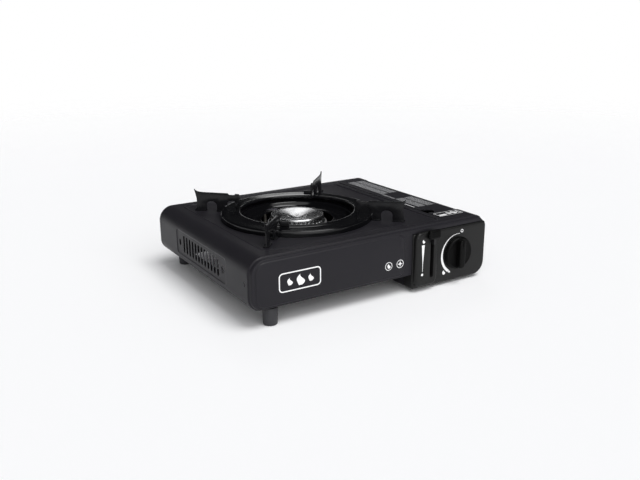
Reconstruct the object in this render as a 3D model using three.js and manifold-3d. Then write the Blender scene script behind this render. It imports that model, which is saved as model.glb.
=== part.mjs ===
// Single-burner portable gas stove, tabletop type, built piece by piece.
// Units are millimetres. +X runs to the right along the front, -Y faces the cook, +Z is up.
import * as THREE from 'three';
import { mergeVertices } from 'three/addons/utils/BufferGeometryUtils.js';
import Module from 'manifold-3d';

const wasm = await Module();
wasm.setup();

// ---------------------------------------------------------------- driving dimensions

// Casing
const casingWidth = 338;
const casingDepth = 271.6;
const deckHeight = 81.8;
const burnerFloorHeight = 20.8;
const fuelFloorHeight = 4;
const fuelBoxWidth = 119;
const topLeftRadius = 19;
const topRightRadius = 14;
const bottomLeftRadius = 15.5;
const bottomRightRadius = 17;
const stepRadius = 3;
const frontFillet = 7.5;
const rearFillet = 3;
const sheet = 1.2;
const clearance = 0.3;
const frontCapDepth = 8;
const rearCapDepth = 8;
const capLap = 5;
const bottomReturn = 16;
const cornerSteps = 5;

// Pressed detail of the deck
const recessDepth = 1;
const recessFrontMargin = 23.3;
const recessRearMargin = 16;
const recessLeftMargin = 30;
const recessRightGap = 9;
const recessRadius = 12;

// Air vents in the left side
const ventCount = 12;
const ventPitch = 9.2;
const ventSlotWidth = 4.6;
const ventSlotHeight = 22.4;
const ventCentreHeight = 51;
const ventPanelDepth = 1.2;
const ventPanelLength = 146;
const ventPanelHeight = 31;
const shortVentHeight = 8;
const shortVentGap = 13;

// Base plate
const airOpeningWidth = 62;
const airOpeningLength = 190;
const airOpeningMargin = 14;

// Fuel compartment
const lidWidth = 56;
const lidFrontMargin = 23.8;
const lidRearMargin = 14;
const lidLedgeDrop = 4;
const lidLedgeWidth = 7;
const lidGroove = 2;
const fingerDipOffset = 33;
const fingerDipLength = 16;
const fingerDipReach = 15;
const hingeBarrelRadius = 1.8;
const hingePinRadius = 0.9;
const hingeHeight = 34;
const hingeKnuckleLength = 8;
const hingeEndOffset = 26;
const partitionOffset = 73;
const canisterRadius = 34;
const canisterLength = 188;
const canisterFloorGap = 3;
const cradleThickness = 6;
const cradleHeight = 14;
const cradleInset = 44;

// Control panel
const panelWall = 2;
const panelDepth = 16;
const panelTopDrop = 7.6;
const panelTopGap = 0.8;
const panelFillet = 2.5;
const housingWidth = 34.5;
const housingDepth = 5;
const housingBottomMargin = 3;
const housingTopRise = 2;
const housingRadius = 8;
const slotWidth = 5;
const slotRunOut = 7;
const slotFromRight = 8.5;
const slotTopMargin = 4.7;
const knobOffsetX = 72;
const knobHeight = 39.5;
const knobRadius = 21;
const knobSkirtDepth = 4;
const knobGripWidth = 10;
const knobGripLength = 38;
const knobGripDepth = 6;
const knobStandOff = 1;
const socketDepth = 3;
const shaftRadius = 3;
const leverTravel = 36;
const leverTabWidth = 18;
const leverTabShift = 0.9;
const leverTabHeight = 11;
const leverTabDepth = 5;
const leverStemWidth = 3.6;
const leverStemHeight = 9;
const leverTopGap = 0.5;
const leverTabRise = 9.5;
const leverArmHeight = 26;

// Gas system
const regulatorWidth = 44;
const regulatorDepth = 22;
const regulatorHeight = 40;
const regulatorPlateOffset = 47;
const inletRadius = 9;
const inletLength = 4;
const regulatorCapRadius = 10;
const regulatorCapDepth = 6;
const jetRadius = 5;
const jetLength = 14;
const jetInset = 7;
const jetGap = 2;
const mixerLap = 8;
const regulatorShift = 6;
const mixerRadius = 10;
const mixerWall = 1.2;
const mixerRise = 12.5;
const shutterLength = 12;
const piezoRadius = 6;
const piezoLength = 18;
const piezoOffset = 24;
const piezoDrop = 15;
const leadRadius = 1.2;
const pusherTravel = 10.8;
const pusherThickness = 2;
const linkSection = 4;

// Burner
const burnerFromLeft = 135;
const burnerFromMiddle = -3.5;
const burnerRadius = 34;
const burnerTopRise = 2.9;
const burnerHeadHeight = 9.7;
const burnerCupRadius = 38;
const burnerCupHeight = 34;
const bowlDepth = 4.8;
const bowlHoleRadius = 46;
const bowlFloorRadius = 66;
const bowlFlangeWidth = 3;
const deckHoleRadius = 70;
const bracketWidth = 26;
const electrodeRadius = 2.4;
const electrodeOffset = 41;
const electrodeAngle = 153;
const electrodeLength = 26;

// Pan support
const ringInnerRadius = 72.6;
const ringLipRise = 8.9;
const ringOuterRadius = 97;
const ringRimRise = 8.1;
const armHeight = 24.6;
const armNibRise = 4;
const armReach = 139.5;
const armThickness = 1.6;
const armFootLength = 16.5;
const armMidLegReach = 108.5;
const armArchRise = 13;
const armBridgeRise = 14.9;
const armFootSpread = 3.5;
const armClipWidth = 11;
const armClipReach = 78.5;
const armClipRise = 5.5;
const armStepReach = 93;

// Feet
const footRadius = 9;
const footTaper = 0.7;
const footInsetX = 29;
const footInsetY = 12.8;
const padRadius = 8;
const padInsetX = 40;
const padInsetY = 24;
const footWeb = 1.5;
const screwRadius = 1.8;
const screwHeadRadius = 3.4;
const screwHeadHeight = 1.6;
const seamScrewInset = 6;
const seamScrewMargin = 46;

// ---------------------------------------------------------------- derived places

const right = casingWidth / 2;
const left = -right;
const rear = casingDepth / 2;
const front = -rear;
const stepX = right - fuelBoxWidth;
const lidLeft = right - lidWidth;
const lidFront = front + lidFrontMargin;
const lidRear = rear - lidRearMargin;
const recessFloor = deckHeight - recessDepth;
const supportBase = recessFloor + clearance;
const burnerTopHeight = supportBase + burnerTopRise;
const bowlFloorHeight = recessFloor - bowlDepth;
const ringLipHeight = supportBase + ringLipRise;
const ringRimHeight = supportBase + ringRimRise;
const mixerHeight = knobHeight + mixerRise;
const burnerX = left + burnerFromLeft;
const burnerY = burnerFromMiddle;
const partitionX = right - partitionOffset;
const canisterX = (partitionX + right - sheet) / 2;
const canisterZ = fuelFloorHeight + sheet + canisterFloorGap + canisterRadius;
const regulatorPlateY = front + regulatorPlateOffset;
const panelTop = deckHeight - panelTopDrop;
const panelLeft = stepX + clearance;
const housingLeft = panelLeft + 1;
const housingRight = housingLeft + housingWidth;
const housingFront = front - housingDepth;
const slotX = housingRight - slotFromRight;
const slotTop = panelTop - slotTopMargin;
const slotBottom = slotTop - leverTopGap - leverStemHeight - leverTravel - slotRunOut;
const knobX = stepX + knobOffsetX;
const knobReach = knobStandOff + knobSkirtDepth + knobGripDepth;
const shellFront = front + frontCapDepth;
const shellRear = rear - rearCapDepth;
const skirtFront = front - knobStandOff - knobSkirtDepth;
const knobBase = front - knobStandOff;
const leverTop = slotTop - leverTopGap;
const leverTabBack = housingFront - 2 * clearance;
const regulatorFront = regulatorPlateY - sheet - clearance - regulatorDepth;
const regulatorLeft = knobX - regulatorWidth / 2 + regulatorShift;
const regulatorBottom = knobHeight - regulatorHeight / 2;
const mixerStart = [regulatorLeft - clearance, regulatorFront + jetInset, mixerHeight];
const mixerEnd = [burnerX, burnerY, mixerHeight];
const mixerRun = Math.hypot(mixerStart[0] - mixerEnd[0], mixerStart[1] - mixerEnd[1]);
const mixerInlet = (jetLength + jetGap) / mixerRun;
const piezoX = knobX + piezoOffset;
const piezoZ = knobHeight - piezoDrop;
const piezoFront = front + panelWall + clearance;
const canisterFront = regulatorPlateY + clearance + inletLength;
const pusherRest = canisterFront + canisterLength + pusherTravel + clearance;
const linkLeft = partitionX + linkSection;
const linkBottom = fuelFloorHeight + panelWall + 3 * clearance;
const linkFront = front + panelDepth + pusherTravel - 3;
const electrodeX = burnerX + electrodeOffset * Math.cos(THREE.MathUtils.degToRad(electrodeAngle));
const electrodeY = burnerY + electrodeOffset * Math.sin(THREE.MathUtils.degToRad(electrodeAngle));
const electrodeBottom = burnerTopHeight - electrodeLength;
const burnerBase = burnerTopHeight - burnerHeadHeight;
const hingeX = right - hingeBarrelRadius;
const hingeSweep = Math.hypot(hingeBarrelRadius, clearance) + clearance;
const wallTop = hingeHeight - hingeSweep;
const panelBack = front + panelDepth + clearance;
const seamScrewX = stepX - seamScrewInset;
const traySeamScrews = [[seamScrewX, front + seamScrewMargin], [seamScrewX, rear - seamScrewMargin]];
const tallFoot = { top: burnerFloorHeight - clearance, topRadius: footRadius, bottomRadius: footRadius - footTaper };
const pad = { top: fuelFloorHeight - clearance, topRadius: padRadius, bottomRadius: padRadius - footTaper };
const feet = [
  { name: 'front_left', x: left + footInsetX, y: front + footInsetY, ...tallFoot },
  { name: 'rear_left', x: left + footInsetX, y: rear - footInsetY, ...tallFoot },
  { name: 'front_right', x: right - padInsetX, y: front + padInsetY, ...pad },
  { name: 'rear_right', x: right - padInsetX, y: rear - padInsetY, ...pad },
];

// ---------------------------------------------------------------- finishes

function finish(color, roughness, metalness) {
  return new THREE.MeshStandardMaterial({ color, roughness, metalness });
}

const paint = finish(0x35353a, 0.45, 0.1);
const enamel = finish(0x121214, 0.15, 0.1);
const plastic = finish(0x2b2b2d, 0.5, 0);
const rubber = finish(0x1f1f20, 0.85, 0);
const steel = finish(0xb9bbbf, 0.25, 1);
const zinc = finish(0x9a9ca1, 0.45, 1);
const aluminium = finish(0xa8a9ab, 0.5, 1);
const brass = finish(0xb08d4b, 0.35, 1);
const ceramic = finish(0xe9e5da, 0.4, 0);
const leadJacket = finish(0x8e2020, 0.6, 0);

// ---------------------------------------------------------------- solid helpers

function toSolid(geometry) {
  const bare = geometry.clone();
  bare.deleteAttribute('normal');
  bare.deleteAttribute('uv');
  const merged = mergeVertices(bare, 1e-4);
  return new wasm.Manifold(new wasm.Mesh({
    numProp: 3,
    vertProperties: new Float32Array(merged.attributes.position.array),
    triVerts: new Uint32Array(merged.index.array),
  }));
}

function toGeometry(solid) {
  const data = solid.getMesh();
  const geometry = new THREE.BufferGeometry();
  geometry.setAttribute('position', new THREE.BufferAttribute(data.vertProperties, 3));
  geometry.setIndex(new THREE.BufferAttribute(data.triVerts, 1));
  geometry.computeVertexNormals();
  return geometry;
}

function block(x0, x1, y0, y1, z0, z1) {
  const geometry = new THREE.BoxGeometry(x1 - x0, y1 - y0, z1 - z0);
  geometry.translate((x0 + x1) / 2, (y0 + y1) / 2, (z0 + z1) / 2);
  return toSolid(geometry);
}

function rod(from, to, startRadius, endRadius = startRadius, sides = 20) {
  const start = new THREE.Vector3(...from);
  const end = new THREE.Vector3(...to);
  const length = start.distanceTo(end);
  const geometry = new THREE.CylinderGeometry(endRadius, startRadius, length, sides);
  const direction = end.clone().sub(start).normalize();
  geometry.applyQuaternion(new THREE.Quaternion().setFromUnitVectors(new THREE.Vector3(0, 1, 0), direction));
  geometry.translate(...start.add(end).multiplyScalar(0.5).toArray());
  return toSolid(geometry);
}

// A closed section of [radius, height] points turned about the vertical line at x, y.
function turned(section, x = 0, y = 0, sides = 48) {
  const points = section.map(([r, z]) => new THREE.Vector2(r, z));
  if (section[0][0] > 0) points.push(points[0].clone());
  const geometry = new THREE.LatheGeometry(points, sides);
  geometry.rotateX(Math.PI / 2);
  geometry.translate(x, y, 0);
  const solid = toSolid(geometry);
  return solid;
}

function toShape(points) {
  return new THREE.Shape(points.map(([u, v]) => new THREE.Vector2(u, v)));
}

// A flat outline in X and Z, given thickness along Y.
function slab(points, y0, y1) {
  const geometry = new THREE.ExtrudeGeometry(toShape(points), { depth: y1 - y0, bevelEnabled: false });
  geometry.rotateX(Math.PI / 2);
  geometry.translate(0, y1, 0);
  return toSolid(geometry);
}

// A flat outline in X and Y, given thickness along Z.
function plate(points, z0, z1) {
  const geometry = new THREE.ExtrudeGeometry(toShape(points), { depth: z1 - z0, bevelEnabled: false });
  geometry.translate(0, 0, z0);
  return toSolid(geometry);
}

function roundTube(points, radius, steps, sides) {
  const path = new THREE.CatmullRomCurve3(points.map((point) => new THREE.Vector3(...point)), false, 'centripetal');
  const section = new THREE.Shape();
  for (let i = 0; i < sides; i += 1) {
    const angle = (2 * Math.PI * i) / sides;
    const step = i === 0 ? 'moveTo' : 'lineTo';
    section[step](radius * Math.cos(angle), radius * Math.sin(angle));
  }
  return toSolid(new THREE.ExtrudeGeometry(section, { steps, extrudePath: path, bevelEnabled: false }));
}

// Rounds the right-angled corners [u, v, radius] of an anticlockwise outline, moved inwards by inset.
function roundedOutline(corners, inset = 0, steps = cornerSteps) {
  const count = corners.length;
  const outline = [];
  for (let i = 0; i < count; i += 1) {
    const [u, v, radius] = corners[i];
    const before = corners[(i + count - 1) % count];
    const after = corners[(i + 1) % count];
    const incoming = new THREE.Vector2(u - before[0], v - before[1]).normalize();
    const outgoing = new THREE.Vector2(after[0] - u, after[1] - v).normalize();
    const convex = incoming.cross(outgoing) > 0;
    const r = Math.max(convex ? radius - inset : radius + inset, 0.4);
    const inward = new THREE.Vector2(-incoming.y - outgoing.y, incoming.x + outgoing.x);
    const corner = new THREE.Vector2(u, v).addScaledVector(inward, inset);
    const centre = corner.clone().addScaledVector(incoming, -r).addScaledVector(outgoing, r);
    for (let k = 0; k <= steps; k += 1) {
      const angle = (Math.PI / 2) * (k / steps);
      outline.push([
        centre.x + r * (incoming.x * Math.sin(angle) - outgoing.x * Math.cos(angle)),
        centre.y + r * (incoming.y * Math.sin(angle) - outgoing.y * Math.cos(angle)),
      ]);
    }
  }
  return outline;
}

function roundedRectangle(u0, u1, v0, v1, radius, steps = cornerSteps) {
  return roundedOutline([[u0, v0, radius], [u1, v0, radius], [u1, v1, radius], [u0, v1, radius]], 0, steps);
}

// Skins a row of equal-count outlines in X and Z, each at its own Y, and closes both ends.
function loft(rings) {
  const count = rings[0].points.length;
  const positions = rings.flatMap(({ points, y }) => points.flatMap(([x, z]) => [x, y, z]));
  const indices = [];
  for (let k = 0; k + 1 < rings.length; k += 1) {
    for (let i = 0; i < count; i += 1) {
      const a = k * count + i;
      const b = k * count + ((i + 1) % count);
      indices.push(a, a + count, b, b, a + count, b + count);
    }
  }
  const last = (rings.length - 1) * count;
  const capOf = (ring) => THREE.ShapeUtils.triangulateShape(toShape(ring.points).getPoints(), []);
  capOf(rings[0]).forEach(([a, b, c]) => indices.push(a, b, c));
  capOf(rings[rings.length - 1]).forEach(([a, b, c]) => indices.push(last + a, last + c, last + b));
  const geometry = new THREE.BufferGeometry();
  geometry.setAttribute('position', new THREE.BufferAttribute(new Float32Array(positions), 3));
  geometry.setIndex(indices);
  return toSolid(geometry);
}

const parts = new THREE.Group();

function add(name, solid, material) {
  const mesh = new THREE.Mesh(toGeometry(solid), material);
  mesh.name = name;
  parts.add(mesh);
}

// ---------------------------------------------------------------- casing

const casingCorners = [
  [left, burnerFloorHeight, bottomLeftRadius],
  [stepX, burnerFloorHeight, stepRadius],
  [stepX, fuelFloorHeight, stepRadius],
  [right, fuelFloorHeight, bottomRightRadius],
  [right, deckHeight, topRightRadius],
  [left, deckHeight, topLeftRadius],
];

// The casing's outer form between two planes, moved inwards by inset, with rounded end edges.
function casingForm(inset, y0, y1, frontRound = 0, rearRound = 0) {
  const ring = (round, y) => ({ points: roundedOutline(casingCorners, inset + round), y });
  const rings = [];
  const steps = 3;
  for (let k = 0; frontRound > 0 && k < steps; k += 1) {
    const angle = (Math.PI / 2) * (k / steps);
    rings.push(ring(frontRound * (1 - Math.sin(angle)), y0 + frontRound * (1 - Math.cos(angle))));
  }
  rings.push(ring(0, y0 + frontRound));
  rings.push(ring(0, y1 - rearRound));
  for (let k = 1; rearRound > 0 && k <= steps; k += 1) {
    const angle = (Math.PI / 2) * (k / steps);
    rings.push(ring(rearRound * (1 - Math.cos(angle)), y1 - rearRound * (1 - Math.sin(angle))));
  }
  return loft(rings);
}

function casingSleeve(inset, y0, y1) {
  return casingForm(inset, y0, y1).subtract(casingForm(inset + sheet, y0 - 1, y1 + 1));
}

function deckRecessOutline(shrink) {
  const x0 = left + recessLeftMargin + shrink;
  const x1 = lidLeft - lidGroove - recessRightGap - shrink;
  const y0 = front + recessFrontMargin + shrink;
  const y1 = rear - recessRearMargin - shrink;
  return roundedRectangle(x0, x1, y0, y1, recessRadius - shrink);
}

function ventSlots() {
  const slots = [];
  const reach = [left - 1, left + ventPanelDepth + sheet + 1];
  const slotAt = (y, height) => {
    const [x0, x1] = reach;
    const outline = roundedRectangle(
      y - ventSlotWidth / 2, y + ventSlotWidth / 2,
      ventCentreHeight - height / 2, ventCentreHeight + height / 2,
      ventSlotWidth / 2 - 0.1, 2,
    );
    const geometry = new THREE.ExtrudeGeometry(toShape(outline), { depth: x1 - x0, bevelEnabled: false });
    geometry.rotateX(Math.PI / 2);
    geometry.rotateZ(Math.PI / 2);
    geometry.translate(x0, 0, 0);
    return toSolid(geometry);
  };
  const half = ((ventCount - 1) * ventPitch) / 2;
  for (let i = 0; i < ventCount; i += 1) slots.push(slotAt(i * ventPitch - half, ventSlotHeight));
  slots.push(slotAt(half + shortVentGap, shortVentHeight));
  slots.push(slotAt(-half - shortVentGap, shortVentHeight));
  return slots.reduce((all, slot) => all.add(slot));
}

function ventPanel(shrink, x0, x1) {
  const half = ventPanelLength / 2 - shrink;
  const low = ventCentreHeight - ventPanelHeight / 2 + shrink;
  return block(x0, x1, -half, half, low, low + ventPanelHeight - 2 * shrink);
}

function hingeKnuckle(y, first) {
  const start = first ? y : y + hingeKnuckleLength;
  return [[hingeX, start, hingeHeight], [hingeX, start + hingeKnuckleLength - clearance, hingeHeight]];
}

const hingeStarts = [lidFront + hingeEndOffset, lidRear - hingeEndOffset - 2 * hingeKnuckleLength];

// The room that one half's knuckle needs in the other half.
function hingeNotch([x, y0, z], [, y1]) {
  const radius = hingeBarrelRadius + clearance;
  return rod([x, y0 - clearance, z], [x, y1 + clearance, z], radius, radius, 16);
}

function hingeBore([x, y0, z], [, y1]) {
  const radius = hingePinRadius + clearance;
  return rod([x, y0 - 1, z], [x, y1 + 1, z], radius, radius, 16);
}

// Left side, deck and right side wall, pressed from one sheet, with the opening for the fuel lid.
function bodyShell() {
  const ledgeLeft = lidLeft - lidGroove;
  const ledgeTop = deckHeight - lidLedgeDrop;
  let shell = casingSleeve(0, shellFront + clearance, shellRear - clearance);
  shell = shell.subtract(block(left + bottomReturn, stepX + 1, front, rear, 0, burnerFloorHeight + sheet + 1));
  const seamHeight = fuelFloorHeight + bottomRightRadius;
  shell = shell.subtract(block(stepX - 1, right + 1, front, rear, 0, seamHeight));
  shell = shell.subtract(block(stepX, right + 1, front, panelBack, 0, panelTop + panelTopGap));
  shell = shell.subtract(block(ledgeLeft, right + 1, lidFront, lidRear, hingeHeight, deckHeight + 1));
  shell = shell.subtract(block(right - topRightRadius, right + 1, lidFront, lidRear, wallTop, deckHeight));
  const ledge = block(ledgeLeft - sheet, ledgeLeft, lidFront, lidRear, ledgeTop - sheet, deckHeight)
    .add(block(ledgeLeft - sheet, ledgeLeft + lidLedgeWidth, lidFront, lidRear, ledgeTop - sheet, ledgeTop));
  shell = shell.add(ledge);
  shell = shell.add(plate(deckRecessOutline(-sheet), recessFloor - sheet, deckHeight));
  shell = shell.subtract(plate(deckRecessOutline(0), recessFloor, deckHeight + 1));
  const hole = rod([burnerX, burnerY, recessFloor - 2 * sheet], [burnerX, burnerY, deckHeight + 1],
    deckHoleRadius, deckHoleRadius, 48);
  shell = shell.subtract(hole);
  shell = shell.add(ventPanel(-sheet, left + sheet / 2, left + ventPanelDepth + sheet));
  shell = shell.subtract(ventPanel(0, left - 1, left + ventPanelDepth));
  shell = shell.subtract(ventSlots());
  hingeStarts.forEach((start) => {
    shell = shell.subtract(hingeNotch(...hingeKnuckle(start, false)));
    const [from, to] = hingeKnuckle(start, true);
    shell = shell.add(rod(from, to, hingeBarrelRadius, hingeBarrelRadius, 16));
    const leafLeft = right - 2 * sheet;
    shell = shell.add(block(leafLeft, right - sheet, from[1], to[1], wallTop - sheet, hingeHeight));
    shell = shell.add(block(leafLeft, right, from[1], to[1], wallTop - sheet, wallTop - clearance));
    shell = shell.subtract(hingeBore(from, to));
  });
  return shell;
}

function frontPanel() {
  const outer = casingForm(0, front, shellFront, frontFillet, 0);
  let cap = outer.subtract(casingForm(sheet, front + sheet, shellFront + 1, frontFillet - sheet, 0));
  const lap = casingSleeve(sheet + clearance, shellFront - 2, shellFront + capLap);
  const inside = casingForm(sheet / 2, front + sheet, shellFront + capLap + 1);
  cap = cap.add(lap.intersect(inside)).add(casingSleeve(sheet / 2, shellFront - 2, shellFront));
  const window = block(stepX, right + 1, front - 1, rear, -1, panelTop + panelTopGap);
  return cap.subtract(window);
}

function rearPanel() {
  const outer = casingForm(0, shellRear, rear, 0, rearFillet);
  let cap = outer.subtract(casingForm(sheet, shellRear - 1, rear - sheet, 0, rearFillet - sheet));
  cap = cap.add(casingSleeve(sheet + clearance, shellRear - capLap, shellRear + 2));
  cap = cap.add(casingSleeve(sheet / 2, shellRear, shellRear + 2));
  return cap;
}

const baseFront = shellFront + capLap + clearance;
const baseRear = shellRear - capLap - clearance;

function basePlate() {
  const x0 = left + bottomReturn + clearance;
  const x1 = stepX - stepRadius - clearance;
  const top = burnerFloorHeight + sheet;
  let base = block(x0, x1, shellFront + clearance, shellRear - clearance, burnerFloorHeight, top);
  base = base.add(block(x0, x0 + sheet, baseFront, baseRear, burnerFloorHeight, top + 6));
  const openingLeft = x0 + airOpeningMargin;
  const half = airOpeningLength / 2;
  base = base.subtract(plate(
    roundedRectangle(openingLeft, openingLeft + airOpeningWidth, -half, half, 8, 4),
    burnerFloorHeight - 1, top + 1,
  ));
  return base;
}

function fuelTray() {
  const seam = fuelFloorHeight + bottomRightRadius - clearance;
  const sleeve = casingSleeve(0, panelBack, shellRear - clearance);
  let tray = sleeve.intersect(block(stepX, right + 1, front, rear, 0, seam));
  const lap = casingSleeve(sheet + clearance, panelBack, baseRear)
    .intersect(block(right - bottomRightRadius, right, front, rear, seam - 6, seam + 4));
  const bridge = casingSleeve(sheet / 2, panelBack, baseRear)
    .intersect(block(right - bottomRightRadius, right, front, rear, seam - 6, seam - 1));
  const flangeTop = burnerFloorHeight + 2 * sheet + clearance;
  tray = tray.add(lap).add(bridge);
  tray = tray.add(block(stepX, stepX + sheet, panelBack, baseRear, burnerFloorHeight - 4, flangeTop));
  return tray.add(block(stepX - 12, stepX + sheet, panelBack, baseRear, flangeTop - sheet, flangeTop));
}

function partition() {
  const bottom = fuelFloorHeight + sheet + clearance;
  const top = recessFloor - sheet - clearance;
  const wall = block(partitionX - sheet, partitionX, regulatorPlateY, baseRear, bottom, top);
  const foot = block(partitionX - 10, partitionX, regulatorPlateY, baseRear, bottom, bottom + sheet);
  return wall.add(foot).subtract(mixerForm(mixerRadius + 4, 0, 1));
}

function regulatorPlate() {
  const y0 = regulatorPlateY - sheet;
  const bottom = fuelFloorHeight + sheet + clearance;
  const top = deckHeight - topRightRadius + 2;
  const form = casingForm(2 * (sheet + clearance), y0, regulatorPlateY);
  const wall = form.intersect(block(partitionX + clearance, right, y0, regulatorPlateY, bottom, top));
  const boring = rod([canisterX, y0 - 1, canisterZ], [canisterX, regulatorPlateY + 1, canisterZ],
    inletRadius / 2 + clearance);
  const linkX = linkLeft - 1;
  const passage = block(linkX, linkLeft + linkSection + 1, y0 - 1, regulatorPlateY + 1,
    bottom - 1, linkBottom + linkSection + 1);
  return wall.subtract(boring).subtract(passage).subtract(mixerForm(mixerRadius + 4, 0, 1));
}

// ---------------------------------------------------------------- fuel lid

function fuelLid() {
  const y0 = lidFront + clearance;
  const y1 = lidRear - clearance;
  const bottom = hingeHeight + clearance;
  let lid = casingSleeve(0, y0, y1).intersect(block(lidLeft, right + 1, y0, y1, bottom, deckHeight + 1));
  const seat = deckHeight - lidLedgeDrop + clearance;
  lid = lid.add(block(lidLeft, lidLeft + sheet, y0, y1, seat, deckHeight));
  const dipY = y0 + fingerDipOffset;
  const dip = roundedRectangle(lidLeft - sheet - fingerDipReach, lidLeft + fingerDipReach, dipY - fingerDipLength / 2,
    dipY + fingerDipLength / 2, fingerDipLength / 2 - 1, 4);
  lid = lid.subtract(plate(dip, seat - 2, deckHeight + 1));
  hingeStarts.forEach((start) => {
    lid = lid.subtract(hingeNotch(...hingeKnuckle(start, true)));
    const [from, to] = hingeKnuckle(start, false);
    lid = lid.add(rod(from, to, hingeBarrelRadius, hingeBarrelRadius, 16));
    lid = lid.add(block(right - sheet, right, from[1], to[1], hingeHeight, bottom + 1));
    lid = lid.subtract(hingeBore(from, to));
  });
  return lid;
}

function hingePin(start) {
  return rod([hingeX, start, hingeHeight], [hingeX, start + 2 * hingeKnuckleLength - clearance, hingeHeight],
    hingePinRadius, hingePinRadius, 12);
}

// ---------------------------------------------------------------- control panel

function controlPanel() {
  const y1 = front + panelDepth;
  const bounds = block(panelLeft, right + 1, front - 1, y1, 0, panelTop);
  let panel = casingForm(0, front, y1, panelFillet, 0).intersect(bounds);
  const hollow = casingForm(panelWall, front + panelWall, y1 + 1)
    .intersect(block(panelLeft + panelWall, right, front, y1 + 1, 0, panelTop - panelWall));
  const housing = slab(
    roundedRectangle(housingLeft, housingRight, fuelFloorHeight + housingBottomMargin,
      panelTop + housingTopRise, housingRadius),
    housingFront, front + panelWall,
  );
  const overhang = block(left, right, front - clearance, front + panelDepth, panelTop, deckHeight);
  panel = panel.add(housing.subtract(overhang)).subtract(hollow);
  const slot = block(slotX - slotWidth / 2, slotX + slotWidth / 2, housingFront - 1, y1, slotBottom, slotTop);
  const boring = rod([knobX, front - 1, knobHeight], [knobX, front + panelWall + 1, knobHeight],
    shaftRadius + clearance);
  return panel.subtract(slot).subtract(boring);
}

function controlKnob() {
  const skirt = rod([knobX, knobBase, knobHeight], [knobX, skirtFront, knobHeight], knobRadius, knobRadius - 2, 40);
  const grip = slab(
    roundedRectangle(knobX - knobGripWidth / 2, knobX + knobGripWidth / 2,
      knobHeight - knobGripLength / 2, knobHeight + knobGripLength / 2, knobGripWidth / 2 - 0.5),
    skirtFront - knobGripDepth, skirtFront + 1,
  );
  const socket = rod([knobX, knobBase + 1, knobHeight], [knobX, skirtFront - socketDepth, knobHeight],
    shaftRadius + clearance);
  return skirt.add(grip).subtract(socket);
}

function valveShaft() {
  return rod([knobX, skirtFront - socketDepth + clearance, knobHeight],
    [knobX, regulatorFront + socketDepth - clearance, knobHeight], shaftRadius);
}

function lockLever() {
  const x0 = slotX - leverStemWidth / 2;
  const x1 = slotX + leverStemWidth / 2;
  const back = front + panelDepth + 2;
  const stem = block(x0, x1, leverTabBack - socketDepth, back, leverTop - leverStemHeight, leverTop);
  return stem.add(block(x0, x1, front + panelWall + 1, back, leverTop - leverArmHeight, leverTop));
}

function leverTab() {
  const x0 = slotX - leverTabShift - leverTabWidth / 2;
  const top = leverTop + leverTabRise;
  const outline = roundedRectangle(x0, x0 + leverTabWidth, top - leverTabHeight, top, 3, 4);
  const tab = slab(outline, leverTabBack - leverTabDepth, leverTabBack);
  const pocket = block(
    slotX - leverStemWidth / 2 - clearance, slotX + leverStemWidth / 2 + clearance,
    leverTabBack - socketDepth - clearance, leverTabBack + 1, 0, leverTop + clearance,
  );
  return tab.subtract(pocket);
}

// ---------------------------------------------------------------- gas system

// A straight round form along the mixing tube, between two shares of its length.
function mixerForm(radius, from, to, endRadius = radius, sides = 24) {
  const start = new THREE.Vector3(...mixerStart);
  const end = new THREE.Vector3(...mixerEnd);
  const first = start.clone().lerp(end, from).toArray();
  return rod(first, start.clone().lerp(end, to).toArray(), radius, endRadius, sides);
}

function gasJet() {
  return mixerForm(jetRadius, -0.05, jetLength / mixerRun, jetRadius - 2, 12)
    .intersect(block(left, mixerStart[0], front, rear, 0, deckHeight));
}

function mixingTube() {
  const outlet = 1 - (burnerCupRadius - mixerLap) / mixerRun;
  return mixerForm(mixerRadius, mixerInlet, outlet)
    .subtract(mixerForm(mixerRadius - mixerWall, mixerInlet - 0.05, outlet + 0.05));
}

function airShutter() {
  const first = mixerInlet - shutterLength / 2 / mixerRun;
  const bore = mixerRadius + clearance;
  return mixerForm(bore + mixerWall, first, first + shutterLength / mixerRun)
    .subtract(mixerForm(bore, first - 0.05, first + 0.2));
}

function regulatorBody() {
  const outline = roundedRectangle(regulatorLeft, regulatorLeft + regulatorWidth, regulatorBottom,
    regulatorBottom + regulatorHeight, 6, 4);
  const socket = rod([knobX, regulatorFront - 1, knobHeight], [knobX, regulatorFront + socketDepth, knobHeight],
    shaftRadius + clearance);
  return slab(outline, regulatorFront, regulatorFront + regulatorDepth).subtract(socket);
}

function regulatorCap() {
  const x = regulatorLeft + regulatorWidth / 2;
  const y = regulatorFront + regulatorDepth / 2;
  const top = regulatorBottom - clearance;
  return rod([x, y, top - regulatorCapDepth], [x, y, top], regulatorCapRadius - 1, regulatorCapRadius, 24);
}

function canisterInlet() {
  const y0 = regulatorPlateY + clearance;
  const collar = rod([canisterX, y0, canisterZ], [canisterX, y0 + inletLength, canisterZ], inletRadius);
  const spigotFront = regulatorPlateY - sheet;
  const spigot = rod([canisterX, spigotFront, canisterZ], [canisterX, y0 + 1, canisterZ], inletRadius / 2);
  const bore = rod([canisterX, y0 + 1, canisterZ], [canisterX, y0 + inletLength + 1, canisterZ], inletRadius / 3);
  return collar.add(spigot).subtract(bore);
}

function piezoIgniter() {
  return rod([piezoX, piezoFront, piezoZ], [piezoX, piezoFront + piezoLength, piezoZ], piezoRadius);
}

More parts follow.
